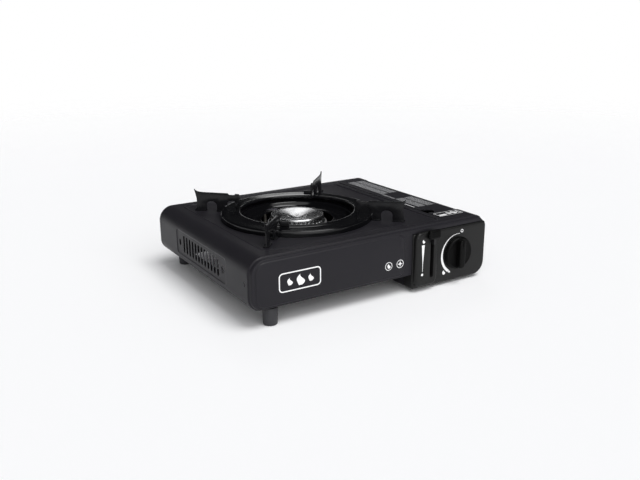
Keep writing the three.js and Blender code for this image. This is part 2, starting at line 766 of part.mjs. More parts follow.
// The spark lead runs from the igniter, under the mixing tube and round the burner bracket.
function igniterLead() {
  const route = [
    [piezoX - piezoRadius - clearance, piezoFront + piezoLength / 2, piezoZ],
    [piezoX - 22, piezoFront + piezoLength / 2 + 1, piezoZ - 6],
    [knobX - 18, front + 20, 16],
    [partitionX - 6, front + 22, 15.5],
    [stepX + 14, front + 30, 25],
    [stepX - 12, front + 44, 28],
    [burnerX + 24, burnerY - 58, 28],
    [burnerX - 12, burnerY - 46, 30],
    [burnerX - 34, burnerY - 22, 38],
    [electrodeX, electrodeY - 2, electrodeBottom - 10],
    [electrodeX, electrodeY, electrodeBottom - 5],
    [electrodeX, electrodeY, electrodeBottom - clearance],
  ];
  return roundTube(route, leadRadius, 36, 6);
}

function canisterPusher() {
  const y1 = pusherRest + pusherThickness;
  const form = casingForm(5, pusherRest, y1);
  const top = canisterZ + canisterRadius - 8;
  const face = form.intersect(block(linkLeft, right, pusherRest, y1, linkBottom, top));
  const link = block(linkLeft, linkLeft + linkSection, linkFront, y1, linkBottom, linkBottom + linkSection);
  const crossLeft = slotX + leverStemWidth / 2 + clearance;
  const cross = block(crossLeft, linkLeft + linkSection, linkFront, linkFront + linkSection,
    linkBottom, linkBottom + linkSection);
  return face.add(link).add(cross);
}

function cradle(y) {
  const y1 = y + cradleThickness;
  const bottom = fuelFloorHeight + sheet + clearance;
  const form = casingForm(2 * (sheet + clearance), y, y1);
  const x0 = linkLeft + linkSection + 2;
  const saddle = form.intersect(block(x0, 2 * canisterX - x0, y, y1, bottom, bottom + cradleHeight));
  return saddle.subtract(rod([canisterX, y - 1, canisterZ], [canisterX, y1 + 1, canisterZ],
    canisterRadius + 2 * clearance, canisterRadius + 2 * clearance, 48));
}

// ---------------------------------------------------------------- burner

function burnerCup() {
  const wall = 1.6;
  const r = burnerCupRadius;
  const top = burnerBase - clearance;
  const bottom = top - burnerCupHeight;
  const cup = turned([
    [0, bottom], [r - 8, bottom], [r - 3, bottom + 4], [r, top],
    [r - wall, top], [r - 3 - wall, bottom + 5], [r - 9, bottom + wall], [0, bottom + wall],
  ], burnerX, burnerY);
  return cup.subtract(mixerForm(mixerRadius + clearance, 0.5, 1));
}

function burnerHead() {
  const r = burnerRadius;
  const z = burnerTopHeight;
  return turned([
    [0, z - 4.2], [20, z - 3.7], [29.5, z - 1.2], [r - 2, z - 1.4], [r + 1, burnerBase], [r + 2.2, burnerBase],
    [r, z - 0.6], [r - 1.2, z], [r - 4, z], [r - 12, z - 2.4], [r - 20, z - 3], [0, z - 3],
  ], burnerX, burnerY);
}

function burnerBracket() {
  const top = burnerBase - clearance - burnerCupHeight - clearance;
  const bottom = burnerFloorHeight + sheet + clearance;
  const x0 = burnerX - bracketWidth / 2;
  const x1 = burnerX + bracketWidth / 2;
  const y0 = burnerY - burnerCupRadius + 4;
  const y1 = burnerY + burnerCupRadius - 4;
  return block(x0, x1, y0, y1, top - sheet, top)
    .add(block(x0, x1, y0, y0 + sheet, bottom, top))
    .add(block(x0, x1, y1 - sheet, y1, bottom, top))
    .add(block(x0, x1, y0 - 9, y0 + sheet, bottom, bottom + sheet))
    .add(block(x0, x1, y1 - sheet, y1 + 9, bottom, bottom + sheet));
}

function igniterElectrode() {
  return rod([electrodeX, electrodeY, electrodeBottom], [electrodeX, electrodeY, burnerTopHeight],
    electrodeRadius, electrodeRadius, 16);
}

function sparkWire() {
  const angle = THREE.MathUtils.degToRad(electrodeAngle);
  const at = (reach, z) => [burnerX + reach * Math.cos(angle), burnerY + reach * Math.sin(angle), z];
  const base = burnerTopHeight + clearance;
  return roundTube([at(electrodeOffset, base), at(electrodeOffset, base + 3), at(electrodeOffset - 3, base + 5),
    at(electrodeOffset - 16, base + 6)], 0.9, 12, 8);
}

function electrodeBracket() {
  const z0 = electrodeBottom + 6;
  const tab = rod([electrodeX, electrodeY, z0], [electrodeX, electrodeY, z0 + 2], 6, 6, 24);
  const bore = rod([electrodeX, electrodeY, z0 - 1], [electrodeX, electrodeY, z0 + 3],
    electrodeRadius + clearance, electrodeRadius + clearance, 16);
  const cup = rod([burnerX, burnerY, z0 - 1], [burnerX, burnerY, z0 + 3],
    burnerCupRadius + clearance, burnerCupRadius + clearance, 48);
  return tab.subtract(bore).subtract(cup);
}

function dripBowl() {
  const floor = bowlFloorHeight;
  const flange = recessFloor + clearance;
  const outer = deckHoleRadius + bowlFlangeWidth;
  const neck = deckHoleRadius - clearance;
  return turned([
    [bowlHoleRadius, floor - sheet], [bowlFloorRadius, floor - sheet], [neck, flange - sheet],
    [neck, flange], [outer, flange], [outer, flange + sheet], [neck - sheet, flange + sheet],
    [neck - sheet, flange - sheet / 2], [bowlFloorRadius - 1, floor], [bowlHoleRadius, floor],
  ], burnerX, burnerY, 48);
}

// ---------------------------------------------------------------- pan support

function panSupportRing() {
  const r0 = ringInnerRadius;
  const r1 = ringOuterRadius;
  const lip = ringLipHeight;
  const rim = ringRimHeight;
  return turned([
    [r0, lip - 3.5], [r0 + sheet, lip - 3.5], [r0 + sheet, rim - sheet], [r1 - sheet, rim - sheet],
    [r1 - sheet, supportBase], [r1, supportBase], [r1, rim - 1.2],
    [r1 - 0.4, rim - 0.4], [r1 - 1.2, rim], [r0 + 3.2, rim], [r0 + 2.2, lip - 0.1], [r0 + 0.9, lip],
    [r0, lip - 0.7],
  ], burnerX, burnerY, 48);
}

function arch(u0, u1, bottom, top, rise) {
  const points = [];
  const steps = 5;
  const middle = (u0 + u1) / 2;
  for (let k = 0; k <= steps; k += 1) {
    const angle = Math.PI * (1 - k / steps);
    points.push([middle + ((u1 - u0) / 2) * Math.cos(angle), top - rise * (1 - Math.sin(angle))]);
  }
  return [[u0, bottom], ...points, [u1, bottom]];
}

// One upright arm in the plane that runs outwards from the burner at the given angle.
function panSupportArm(angle) {
  const footInner = armReach - armFootLength;
  const legInner = ringOuterRadius + 1;
  const shelf = ringRimHeight + clearance;
  const top = supportBase + armHeight;
  const outline = [
    [armClipReach - 2, shelf],
    ...arch(armClipReach + 1, ringOuterRadius - 2.5, shelf, supportBase + armBridgeRise, 4.5),
    [legInner, shelf], [legInner, supportBase],
    ...arch(armMidLegReach, footInner, supportBase, supportBase + armArchRise, 5.5),
    [armReach - 1, supportBase], [armReach - 2.6, (supportBase + top) / 2], [armReach - 1.4, top],
    [armReach, top + armNibRise], [armReach - 3.5, top + 1.2], [armReach - 9, top],
    [armStepReach, top], [armStepReach - 2, top - 2], [armClipReach + 5.5, top - 2],
    [armClipReach + 4.5, top - 0.4], [armClipReach, top - 0.4],
    [armClipReach - 2, top - 3],
  ];
  const half = armThickness / 2;
  let arm = slab(outline, -half, half);
  arm = arm.add(block(legInner, armMidLegReach, -armFootSpread, armFootSpread, supportBase, supportBase + sheet));
  arm = arm.add(block(footInner, armReach - 1, -armFootSpread, armFootSpread, supportBase, supportBase + sheet));
  arm = arm.add(block(armClipReach - half, armClipReach + half, -half, armClipWidth, shelf, shelf + armClipRise));
  return arm.rotate([0, 0, angle]).translate([burnerX, burnerY, 0]);
}

// ---------------------------------------------------------------- feet and screws

function footForm(x, y, top, topRadius, bottomRadius) {
  const web = top - footWeb;
  return rod([x, y, 0], [x, y, top], bottomRadius, topRadius, 24)
    .subtract(rod([x, y, -1], [x, y, web], screwHeadRadius + 2 * clearance, screwHeadRadius + 2 * clearance, 12))
    .subtract(rod([x, y, -1], [x, y, top + 1], screwRadius + clearance, screwRadius + clearance, 12));
}

// A pan-head screw standing head down: its head's upper face is at z and its shank runs up.
function screw(x, y, z, shank) {
  return rod([x, y, z - screwHeadHeight], [x, y, z], screwHeadRadius - 0.6, screwHeadRadius, 12)
    .add(rod([x, y, z - 0.5], [x, y, z + shank], screwRadius, screwRadius, 12));
}

function screwHoles() {
  const holes = [...feet.map(({ x, y }) => [x, y]), ...traySeamScrews];
  return holes
    .map(([x, y]) => rod([x, y, -1], [x, y, burnerFloorHeight + 10], screwRadius + clearance, screwRadius + clearance, 12))
    .reduce((all, hole) => all.add(hole));
}

// ---------------------------------------------------------------- assembly

const arms = { front_left: 225, front_right: 315, rear_right: 45, rear_left: 135 };
const holes = screwHoles();

add('body_shell', bodyShell(), paint);
add('front_panel', frontPanel().subtract(holes), paint);
add('rear_panel', rearPanel().subtract(holes), paint);
add('base_plate', basePlate().subtract(holes), paint);
add('fuel_tray', fuelTray().subtract(holes), paint);
add('partition', partition(), zinc);
add('regulator_plate', regulatorPlate(), zinc);
add('fuel_lid', fuelLid(), paint);
add('hinge_pin_front', hingePin(hingeStarts[0]), steel);
add('hinge_pin_rear', hingePin(hingeStarts[1]), steel);
add('control_panel', controlPanel(), plastic);
add('control_knob', controlKnob(), plastic);
add('valve_shaft', valveShaft(), brass);
add('lock_lever', lockLever(), zinc);
add('lever_tab', leverTab(), plastic);
add('regulator_body', regulatorBody(), aluminium);
add('regulator_cap', regulatorCap(), zinc);
add('canister_inlet', canisterInlet(), brass);
add('gas_jet', gasJet(), brass);
add('mixing_tube', mixingTube(), zinc);
add('air_shutter', airShutter(), zinc);
add('piezo_igniter', piezoIgniter(), plastic);
add('igniter_lead', igniterLead(), leadJacket);
add('canister_pusher', canisterPusher(), zinc);
add('cradle_front', cradle(canisterFront + cradleInset), zinc);
add('cradle_rear', cradle(canisterFront + canisterLength - cradleInset), zinc);
add('burner_cup', burnerCup(), aluminium);
add('burner_head', burnerHead(), steel);
add('burner_bracket', burnerBracket(), zinc);
add('igniter_electrode', igniterElectrode(), ceramic);
add('spark_wire', sparkWire(), steel);
add('electrode_bracket', electrodeBracket(), zinc);
add('drip_bowl', dripBowl(), enamel);
add('pan_support_ring', panSupportRing(), enamel);
Object.entries(arms).forEach(([place, angle]) => add(`pan_arm_${place}`, panSupportArm(angle), enamel));
feet.forEach(({ name, x, y, top, topRadius, bottomRadius }) => {
  add(`foot_${name}`, footForm(x, y, top, topRadius, bottomRadius), rubber);
  add(`foot_screw_${name}`, screw(x, y, top - footWeb - clearance, footWeb + sheet + 3), zinc);
});
traySeamScrews.forEach(([x, y], i) => {
  add(`tray_screw_${i === 0 ? 'front' : 'rear'}`, screw(x, y, burnerFloorHeight - clearance, 3 * sheet), zinc);
});

// The origin stands under the middle of the whole stove, knob included.
parts.position.y = knobReach / 2;

const group = new THREE.Group();
group.add(parts);

export default group;
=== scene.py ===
"""Looks of a single-burner portable gas stove, built piece by piece on its CAD frame.

Sizes are millimetres in the row frame: +X to the right, -Y towards the cook, +Z up.
"""

import logging
import math
from dataclasses import dataclass
from enum import Enum
from typing import Callable, Sequence

import bmesh
import bpy
import numpy as np
from mathutils import Matrix, Vector


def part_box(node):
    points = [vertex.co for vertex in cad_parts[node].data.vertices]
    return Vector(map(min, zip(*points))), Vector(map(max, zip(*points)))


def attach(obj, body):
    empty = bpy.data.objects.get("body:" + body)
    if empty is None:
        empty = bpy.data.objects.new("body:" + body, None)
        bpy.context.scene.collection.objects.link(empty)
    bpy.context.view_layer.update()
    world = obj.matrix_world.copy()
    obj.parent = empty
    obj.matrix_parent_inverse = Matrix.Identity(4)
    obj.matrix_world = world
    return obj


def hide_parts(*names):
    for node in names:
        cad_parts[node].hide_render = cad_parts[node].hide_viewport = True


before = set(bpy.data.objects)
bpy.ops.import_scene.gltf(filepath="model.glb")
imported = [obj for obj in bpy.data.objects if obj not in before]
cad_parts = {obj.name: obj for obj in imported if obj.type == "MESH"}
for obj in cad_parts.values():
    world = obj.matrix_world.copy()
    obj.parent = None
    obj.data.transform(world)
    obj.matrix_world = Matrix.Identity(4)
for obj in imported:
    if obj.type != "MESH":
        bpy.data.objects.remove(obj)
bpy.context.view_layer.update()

MM = 0.001  # metres in a millimetre
GAP = 0.3  # play between neighbouring sheets
INK = 0.05  # thickness of a printed film
LID_PRINT = 0.03  # how far the lid's prints lie off the paint
FRONT_PRINT = 0.04  # how far the prints at the front lie off the paint
WELD = 0.004  # points closer than this become one
SLIVER = 0.0005  # edges shorter than this are dissolved
LOG = logging.getLogger("stove")
Socket = bpy.types.NodeSocket
Tree = bpy.types.NodeTree
Corners = Sequence[tuple[float, float, float]]
Rows = Sequence[tuple[float, float]]


# ---------------------------------------------------------------- nodes and colours


def in_mm(box: Sequence[Vector]) -> list[float]:
    """A box's x0, y0, z0, x1, y1 and z1 in millimetres."""
    return [c / MM for c in (*box[0], *box[1])]


def linear(hex_colour: str) -> tuple[float, float, float, float]:
    """Turns an sRGB hex colour to the linear colour that a shader takes.

    Args:
        hex_colour: the colour as "#rrggbb".

    Returns:
        Red, green and blue in linear light, and an alpha of 1.
    """
    parts = [int(hex_colour[i : i + 2], 16) / 255 for i in (1, 3, 5)]
    bent = [c / 12.92 if c <= 0.04045 else ((c + 0.055) / 1.055) ** 2.4 for c in parts]
    return (bent[0], bent[1], bent[2], 1.0)


def add_node(tree: Tree, kind: str, inputs: dict | None = None, **settings: object) -> bpy.types.Node:
    """Adds one node with its settings and its links.

    Args:
        tree: the node tree that takes it.
        kind: the node's type name.
        inputs: for each input, a value or the output socket that feeds it.
        **settings: the node's own properties.

    Returns:
        The new node.
    """
    node = tree.nodes.new(kind)
    for name, value in settings.items():
        setattr(node, name, value)
    for name, value in (inputs or {}).items():
        if isinstance(value, Socket):
            tree.links.new(value, node.inputs[name])
        else:
            node.inputs[name].default_value = value
    return node


def new_material(name: str) -> tuple[bpy.types.Material, Tree]:
    """Makes a material with an empty node tree.

    Args:
        name: the real material's name.

    Returns:
        The material and its tree.
    """
    made = bpy.data.materials.new(name)
    made.use_nodes = True
    made.node_tree.nodes.clear()
    return made, made.node_tree


@dataclass(frozen=True)
class Finish:
    """A finish whose grain is a fine bump and whose tone drifts slowly over the surface.

    grain_mm is the spacing of the fine relief, grain_height_mm its height and
    drift_mm the size of the slow patches in tone and roughness.
    """

    name: str
    colour: str
    second_colour: str
    roughness: float
    roughness_swing: float = 0.05
    metallic: float = 0.0
    specular: float = 0.5
    grain_mm: float = 1.2
    grain_height_mm: float = 0.01
    drift_mm: float = 45.0

    def material(self) -> bpy.types.Material:
        """Gives this finish's material, built once.

        Returns:
            The material that pieces share.
        """
        found = bpy.data.materials.get(self.name)
        if found:
            return found
        made, tree = new_material(self.name)
        made.diffuse_color = linear(self.colour)
        place = add_node(tree, "ShaderNodeTexCoord").outputs["Object"]
        add_node(tree, "ShaderNodeOutputMaterial", {"Surface": self.shader(tree, place)})
        return made

    def relief(self, tree: Tree, place: Socket) -> Socket:
        """Fine noise, one grain every grain_mm.

        Args:
            tree: the material's node tree.
            place: the object coordinates.

        Returns:
            The height from 0 to 1.
        """
        noise = {"Vector": place, "Scale": 1000 / self.grain_mm, "Detail": 2.0, "Roughness": 0.5}
        return add_node(tree, "ShaderNodeTexNoise", noise).outputs["Fac"]

    def shader(self, tree: Tree, place: Socket) -> Socket:
        """Joins colour, roughness and relief into one shader.

        Args:
            tree: the material's node tree.
            place: the object coordinates.

        Returns:
            The shader's output.
        """
        slow = {"Vector": place, "Scale": 1000 / self.drift_mm, "Detail": 3.0, "Roughness": 0.55}
        drift = add_node(tree, "ShaderNodeTexNoise", slow).outputs["Fac"]
        colour = add_node(tree, "ShaderNodeMix", {"Factor": drift}, data_type="RGBA")
        colour.inputs[6].default_value = linear(self.colour)
        colour.inputs[7].default_value = linear(self.second_colour)
        low, high = self.roughness - self.roughness_swing, self.roughness + self.roughness_swing
        rough = add_node(
            tree, "ShaderNodeMapRange",
            {"Value": drift, "From Min": 0.3, "From Max": 0.7, "To Min": low, "To Max": high},
        )
        bump = add_node(
            tree, "ShaderNodeBump",
            {"Height": self.relief(tree, place), "Strength": 1.0, "Distance": self.grain_height_mm * MM},
        )
        return add_node(
            tree, "ShaderNodeBsdfPrincipled",
            {
                "Base Color": colour.outputs[2], "Roughness": rough.outputs["Result"], "Metallic": self.metallic,
                "Specular IOR Level": self.specular, "Normal": bump.outputs["Normal"],
            },
        ).outputs["BSDF"]


@dataclass(frozen=True)
class SpunFinish(Finish):
    """A finish with fine rings round an upright axis, as a turned or spun metal piece has."""

    centre_mm: tuple[float, float] = (0.0, 0.0)
    ring_mm: float = 0.5

    def relief(self, tree: Tree, place: Socket) -> Socket:
        """Noise of the distance from the axis, so that the grain runs in rings.

        Args:
            tree: the material's node tree.
            place: the object coordinates.

        Returns:
            The height from 0 to 1.
        """
        shift = (-self.centre_mm[0] * MM, -self.centre_mm[1] * MM, 0.0)
        moved = add_node(tree, "ShaderNodeMapping", {"Vector": place, "Location": shift})
        flat = add_node(
            tree, "ShaderNodeVectorMath", {0: moved.outputs["Vector"], 1: (1.0, 1.0, 0.0)}, operation="MULTIPLY"
        )
        radius = add_node(tree, "ShaderNodeVectorMath", {0: flat.outputs["Vector"]}, operation="LENGTH")
        return add_node(
            tree, "ShaderNodeTexNoise", {"W": radius.outputs["Value"], "Scale": 1000 / self.ring_mm, "Detail": 3.0},
            noise_dimensions="1D",
        ).outputs["Fac"]


def show(name: str, data: bpy.types.ID) -> bpy.types.Object:
    """Links a new object to the scene.

    Args:
        name: its name.
        data: its mesh, light or camera.

    Returns:
        The object.
    """
    obj = bpy.data.objects.new(name, data)
    bpy.context.scene.collection.objects.link(obj)
    return obj


def paint(mesh: bpy.types.Mesh, finish: Finish) -> None:
    """Gives a mesh one finish in place of what it has."""
    mesh.materials.clear()
    mesh.materials.append(finish.material())


class Finishes:
    """The finishes of this stove, each named for its real material, and for the painted shade or light that some of
    them carry.
    """

    # Powder-coated steel: baked dry powder flows into a faint orange peel about 1.5 mm across, satin and near black.
    powder_coat = Finish(
        "powder_coated_steel", "#222125", "#252428", 0.4, 0.03, specular=0.14, grain_mm=1.5, grain_height_mm=0.01
    )
    # The same coat on the inside and underneath, where less powder lands, so it is duller; its darker colour is
    # painted shade for those places, and the lock lever wears it so that it reads as shade in its slot.
    shaded_inner_coat = Finish(
        "shaded_inner_powder_coat", "#121214", "#18181a", 0.6, 0.06, specular=0.4, grain_mm=1.2, grain_height_mm=0.015
    )
    # Vitreous enamel: fired glass on steel, deep glossy black with long soft waves and few pinholes.
    enamel = Finish(
        "vitreous_enamel", "#08080a", "#0c0c0e", 0.12, 0.03, specular=0.36, grain_mm=9.0, grain_height_mm=0.012,
        drift_mm=30,
    )
    # The same enamel on the upright arms, less glossy, and painted a lighter grey than on the ring as a lit copy of
    # it.
    lit_arm_enamel = Finish(
        "lit_arm_vitreous_enamel", "#161618", "#1a1a1c", 0.24, 0.04, specular=0.24, grain_mm=4.0, grain_height_mm=0.01,
        drift_mm=20,
    )
    # ABS moulded in a spark-eroded tool: an even fine sand texture, a touch browner than the paint.
    plastic = Finish(
        "moulded_abs", "#111111", "#141414", 0.42, 0.04, specular=0.26, grain_mm=0.7, grain_height_mm=0.012,
        drift_mm=60,
    )
    # ABS moulded in a polished tool for the parts that fingers touch: smoother, with a clearer highlight, and painted
    # darker than the panel's ABS as the shade that falls on the knob's grip and the lever's tab.
    shaded_grip_plastic = Finish(
        "shaded_moulded_abs_smooth", "#050505", "#080808", 0.45, 0.04, specular=0.1, grain_mm=1.5, grain_height_mm=0.004,
        drift_mm=40,
    )
    # Zinc-plated steel: cool grey with a faint cloudy crystal pattern.
    zinc = Finish(
        "zinc_plated_steel", "#9fa2a6", "#b4b6b9", 0.38, 0.08, 1.0, grain_mm=2.5, grain_height_mm=0.006, drift_mm=6
    )
    # Die-cast aluminium: dull, sandy and a little darker in patches.
    cast_aluminium = Finish(
        "cast_aluminium", "#8f9092", "#a3a4a5", 0.52, 0.08, 1.0, grain_mm=0.6, grain_height_mm=0.03, drift_mm=12
    )
    # Turned brass: warm yellow metal with fine tool marks.
    brass = Finish(
        "turned_brass", "#b08d4b", "#c29f5d", 0.3, 0.05, 1.0, grain_mm=0.4, grain_height_mm=0.004, drift_mm=10
    )
    # Steatite ceramic of the electrode: half glazed and browned dark by the flame beside it.
    ceramic = Finish(
        "steatite_ceramic", "#25231f", "#302d28", 0.4, 0.05, grain_mm=0.8, grain_height_mm=0.01, drift_mm=8
    )
    # Spring steel wire: drawn metal, blued dark by heat.
    wire_steel = Finish(
        "drawn_steel_wire", "#4b4a4e", "#3a393f", 0.3, 0.08, 1.0, grain_mm=0.4, grain_height_mm=0.003, drift_mm=5
    )
    # Silicone jacket of the spark lead: soft red-brown with a dull sheen.
    silicone = Finish(
        "silicone_rubber_lead", "#7c2020", "#892626", 0.55, 0.05, grain_mm=0.9, grain_height_mm=0.006, drift_mm=15
    )
    # Moulded feet: hard rubber-filled plastic, nearly matt, as dark as the casing.
    foot_rubber = Finish(
        "moulded_rubber", "#2b2b2e", "#303033", 0.55, 0.05, specular=0.4, grain_mm=0.8, grain_height_mm=0.015,
        drift_mm=12,
    )
    # White screen ink: a thin, flat, slightly uneven layer.
    white_ink = Finish(
        "white_screen_ink", "#f6f6f6", "#efeff0", 0.5, 0.05, grain_mm=0.5, grain_height_mm=0.002, drift_mm=9
    )
    # Grey screen ink of the ruled fields on the lid, thinner than the white, so the black dulls it.
    grey_ink = Finish(
        "grey_screen_ink", "#b4b4b6", "#9c9c9e", 0.55, 0.05, grain_mm=0.4, grain_height_mm=0.002, drift_mm=3
    )


def post(node: str) -> tuple[float, float, float, float, float]:
    """Reads a round upright CAD node's place.

    Args:
        node: the node's name.

    Returns:
        Its x, y, radius, bottom and top in millimetres.
    """
    x0, y0, bottom, x1, y1, top = in_mm(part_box(node))
    return (x0 + x1) / 2, (y0 + y1) / 2, (x1 - x0) / 2, bottom, top


# ---------------------------------------------------------------- shapes as arrays


def ease(share: np.ndarray) -> np.ndarray:
    """3t^2 - 2t^3 of each share t held between 0 and 1, a shoulder with no corner."""
    t = np.clip(share, 0.0, 1.0)
    return t * t * (3 - 2 * t)


def unit(vectors: np.ndarray) -> np.ndarray:
    """Each vector divided by its length."""
    return vectors / np.linalg.norm(vectors, axis=-1)[..., None]


def heading(line: np.ndarray) -> np.ndarray:
    """Unit vectors along a line of points."""
    return unit(np.gradient(line, axis=0))


def swept(line: np.ndarray, y: np.ndarray) -> np.ndarray:
    """A line of (x, z) repeated at every y.

    Args:
        line: the line's points.
        y: where it is repeated.

    Returns:
        A grid of shape (points, len(y), 3).
    """
    shape = (len(line), len(y))
    parts = (line[:, :1], y, line[:, 1:2])
    return np.stack([np.broadcast_to(part, shape) for part in parts], -1)


def cell_middles(values: np.ndarray) -> np.ndarray:
    """The mean of each grid cell's first and last corner."""
    return (values[:-1, :-1] + values[1:, 1:]) / 2


def quads(rows: int, columns: int, start: int = 0, around: bool = False) -> np.ndarray:
    """Numbers the corners of a grid's cells.

    Args:
        rows: rows of points.
        columns: columns of points.
        start: the first point's number.
        around: whether the last column joins the first.

    Returns:
        Point numbers of shape (rows - 1, cells across, 4).
    """
    index = np.arange(rows * columns).reshape(rows, columns) + start
    if around:
        index = np.hstack([index, index[:, :1]])
    return np.stack([index[:-1, :-1], index[1:, :-1], index[1:, 1:], index[:-1, 1:]], -1)


def flame(x: float, z: float, height: float) -> np.ndarray:
    """A plain flame, pointed at the top and leaning to one side.

    At share t of the height the half width is 0.46 sin(pi (0.92 t + 0.08)) (1.02 - t)^0.5 and the
    lean 0.1 sin(2 pi t), both times the height.

    Args:
        x: its middle.
        z: its foot.
        height: its height.

    Returns:
        The closed outline's points.
    """
    t = np.linspace(0.03, 1, 12)
    half = 0.46 * np.sin(math.pi * np.minimum(t * 0.92 + 0.08, 1)) * np.sqrt(1.02 - t)
    lean = 0.1 * np.sin(2 * math.pi * t)
    right = pairs(x + height * (half + lean), z + height * t)
    left = pairs(x + height * (lean - half), z + height * t)[::-1][1:]
    return np.concatenate([right, left])


def pairs(a: float | Sequence[float], b: float | Sequence[float]) -> np.ndarray:
    """Points (a, b), where either may be one number for all."""
    return np.stack(np.broadcast_arrays(a, b), -1)


def shifted(rows: Rows, a: float, b: float) -> list[tuple[float, float]]:
    """The rows with a added to their first and b to their second number."""
    return [(first + a, second + b) for first, second in rows]


def polar(centre: Sequence[float], radius: float, angles: Sequence[float]) -> np.ndarray:
    """Points at centre + radius (cos, sin) of each angle in degrees."""
    turn = np.radians(np.asarray(angles, float))
    return np.asarray(centre, float) + radius * pairs(np.cos(turn), np.sin(turn))


def ruled(start: float, stop: float, step: float, bands: Corners = (), at: Sequence[float] = ()) -> np.ndarray:
    """Grid lines from start to stop that lie closer together where a surface bends.

    Args:
        start: the first line.
        stop: the last line.
        step: the spacing outside the bands.
        bands: (from, to, spacing) of each closer stretch.
        at: further lines at exact places.

    Returns:
        The sorted places of the lines.
    """
    lines = np.linspace(start, stop, max(2, int(round((stop - start) / step)) + 1))
    for low, high, gap in bands:
        lines = lines[(lines < low - gap / 2) | (lines > high + gap / 2)]
        lines = np.concatenate([lines, np.linspace(low, high, max(2, int(round((high - low) / gap)) + 1))])
    exact = np.asarray(list(at) + [start, stop], float)
    closest = 0.3
    lines = lines[np.min(np.abs(lines[:, None] - exact[None, :]), axis=1) > closest]
    return np.unique(np.round(np.concatenate([lines, exact]), 5))


def rounded_distance(a: np.ndarray, b: np.ndarray, box: Sequence[float], radius: float) -> np.ndarray:
    """Distance to a rounded rectangle, negative inside.

    With q = |p - centre| - half + r, it is |max(q, 0)| + min(max(qa, qb), 0) - r.

    Args:
        a: first coordinate of the points.
        b: second coordinate of the points.
        box: lowest a, highest a, lowest b, highest b.
        radius: the corner radius r.

    Returns:
        The signed distances.
    """
    qa = np.abs(a - (box[0] + box[1]) / 2) - (box[1] - box[0]) / 2 + radius
    qb = np.abs(b - (box[2] + box[3]) / 2) - (box[3] - box[2]) / 2 + radius
    return np.hypot(np.maximum(qa, 0), np.maximum(qb, 0)) + np.minimum(np.maximum(qa, qb), 0) - radius


def outline(corners: Corners, inset: float = 0.0, steps: int = 8) -> np.ndarray:
    """A closed outline with rounded corners, moved inwards by inset.

    Each corner moves by inset (n1 + n2) / (1 + n1.n2) with the inward normals n1 and n2 of its
    two sides, its radius shrinks by inset where it is convex and grows where it is hollow, and
    its arc is centre - r n(t) with n turning evenly from n1 to n2.

    Args:
        corners: (a, b, radius) counter-clockwise.
        inset: how far the outline moves inwards.
        steps: parts of each arc.

    Returns:
        Points of shape (corners * (steps + 1), 2).
    """
    given = np.asarray(corners, float)
    here = given[:, :2]
    ahead = unit(np.roll(here, -1, 0) - here)
    n2 = pairs(-ahead[:, 1], ahead[:, 0])
    n1 = np.roll(n2, 1, 0)
    dot = np.sum(n1 * n2, 1)[:, None]
    moved = here + inset * (n1 + n2) / (1 + dot)
    cross = n1[:, 0] * n2[:, 1] - n1[:, 1] * n2[:, 0]
    convex = np.sign(cross)
    radius = np.maximum(given[:, 2] - inset * convex, 0.05)[:, None]
    centre = moved + convex[:, None] * radius * (n1 + n2) / (1 + dot)
    start = np.arctan2(-n1[:, 1], -n1[:, 0])
    sweep = np.arctan2(cross, dot[:, 0])
    turn = start[:, None] + sweep[:, None] * np.linspace(0, 1, steps + 1)[None, :]
    spoke = pairs(np.cos(turn), np.sin(turn)) * (convex * radius[:, 0])[:, None, None]
    return (centre[:, None, :] + spoke).reshape(-1, 2)


def rectangle(
    low_a: float, high_a: float, low_b: float, high_b: float, radius: float
) -> list[tuple[float, float, float]]:
    """The four corners of a rounded rectangle, counter-clockwise."""
    return [(low_a, low_b, radius), (high_a, low_b, radius), (high_a, high_b, radius), (low_a, high_b, radius)]


def upright(points: np.ndarray, y: float | np.ndarray) -> np.ndarray:
    """Points (a, b) stood up in the XZ plane at y, as (a, y, b)."""
    return np.stack([points[..., 0], np.broadcast_to(y, points[..., 0].shape), points[..., 1]], -1)


def level(points: np.ndarray, z: float | np.ndarray) -> np.ndarray:
    """Points (a, b) laid in the XY plane at z, as (a, b, z)."""
    return np.stack([points[..., 0], points[..., 1], np.broadcast_to(z, points[..., 0].shape)], -1)


def rings(corners: Corners, profile: Rows, place: Callable, steps: int = 8) -> np.ndarray:
    """Stacks one outline at several insets: row k is place(outline(inset_k), depth_k).

    Args:
        corners: the outline's corners.
        profile: (inset, depth) of each row.
        place: upright or level.
        steps: parts of each corner.

    Returns:
        A grid of shape (rows, points, 3).
    """
    return np.stack([place(outline(corners, inset, steps), depth) for inset, depth in profile])


def quarter(
    inset: float, depth: float, start: float, steps: int = 6, direction: float = -1.0
) -> list[tuple[float, float]]:
    """The rows of a rounded edge: inset (1 - cos t), start + direction depth sin t, t from 0 to 90 degrees.

    Args:
        inset: how far the edge moves inwards.
        depth: how far it moves along the depth.
        start: the depth where it begins.
        steps: parts of the quarter.
        direction: -1 towards the cook, 1 away.

    Returns:
        Rows of (inset, depth).
    """
    t = np.linspace(0, math.pi / 2, steps + 1)
    return list(zip(inset * (1 - np.cos(t)), start + direction * depth * np.sin(t)))


def turned(profile: Rows, centre: Sequence[float], sides: int = 96, axis: str = "z") -> np.ndarray:
    """A profile of (radius, height) turned round an axis through centre.

    Row k is centre + radius_k (cos t, sin t) in the plane across the axis, at height_k along it.

    Args:
        profile: (radius, height) rows, the height being absolute.
        centre: the axis's place in the plane across it.
        sides: parts of the turn.
        axis: "z", or "y" for an axis that points at the cook.

    Returns:
        A grid of shape (rows, sides, 3), to be closed round.
    """
    rows = np.asarray(profile, float)
    turn = np.linspace(0, 2 * math.pi, sides, endpoint=False)
    a = centre[0] + rows[:, :1] * np.cos(turn)
    b = centre[1] + rows[:, :1] * np.sin(turn)
    height = np.repeat(rows[:, 1:], sides, 1)
    return np.stack([a, b, height] if axis == "z" else [a, height, b], -1)


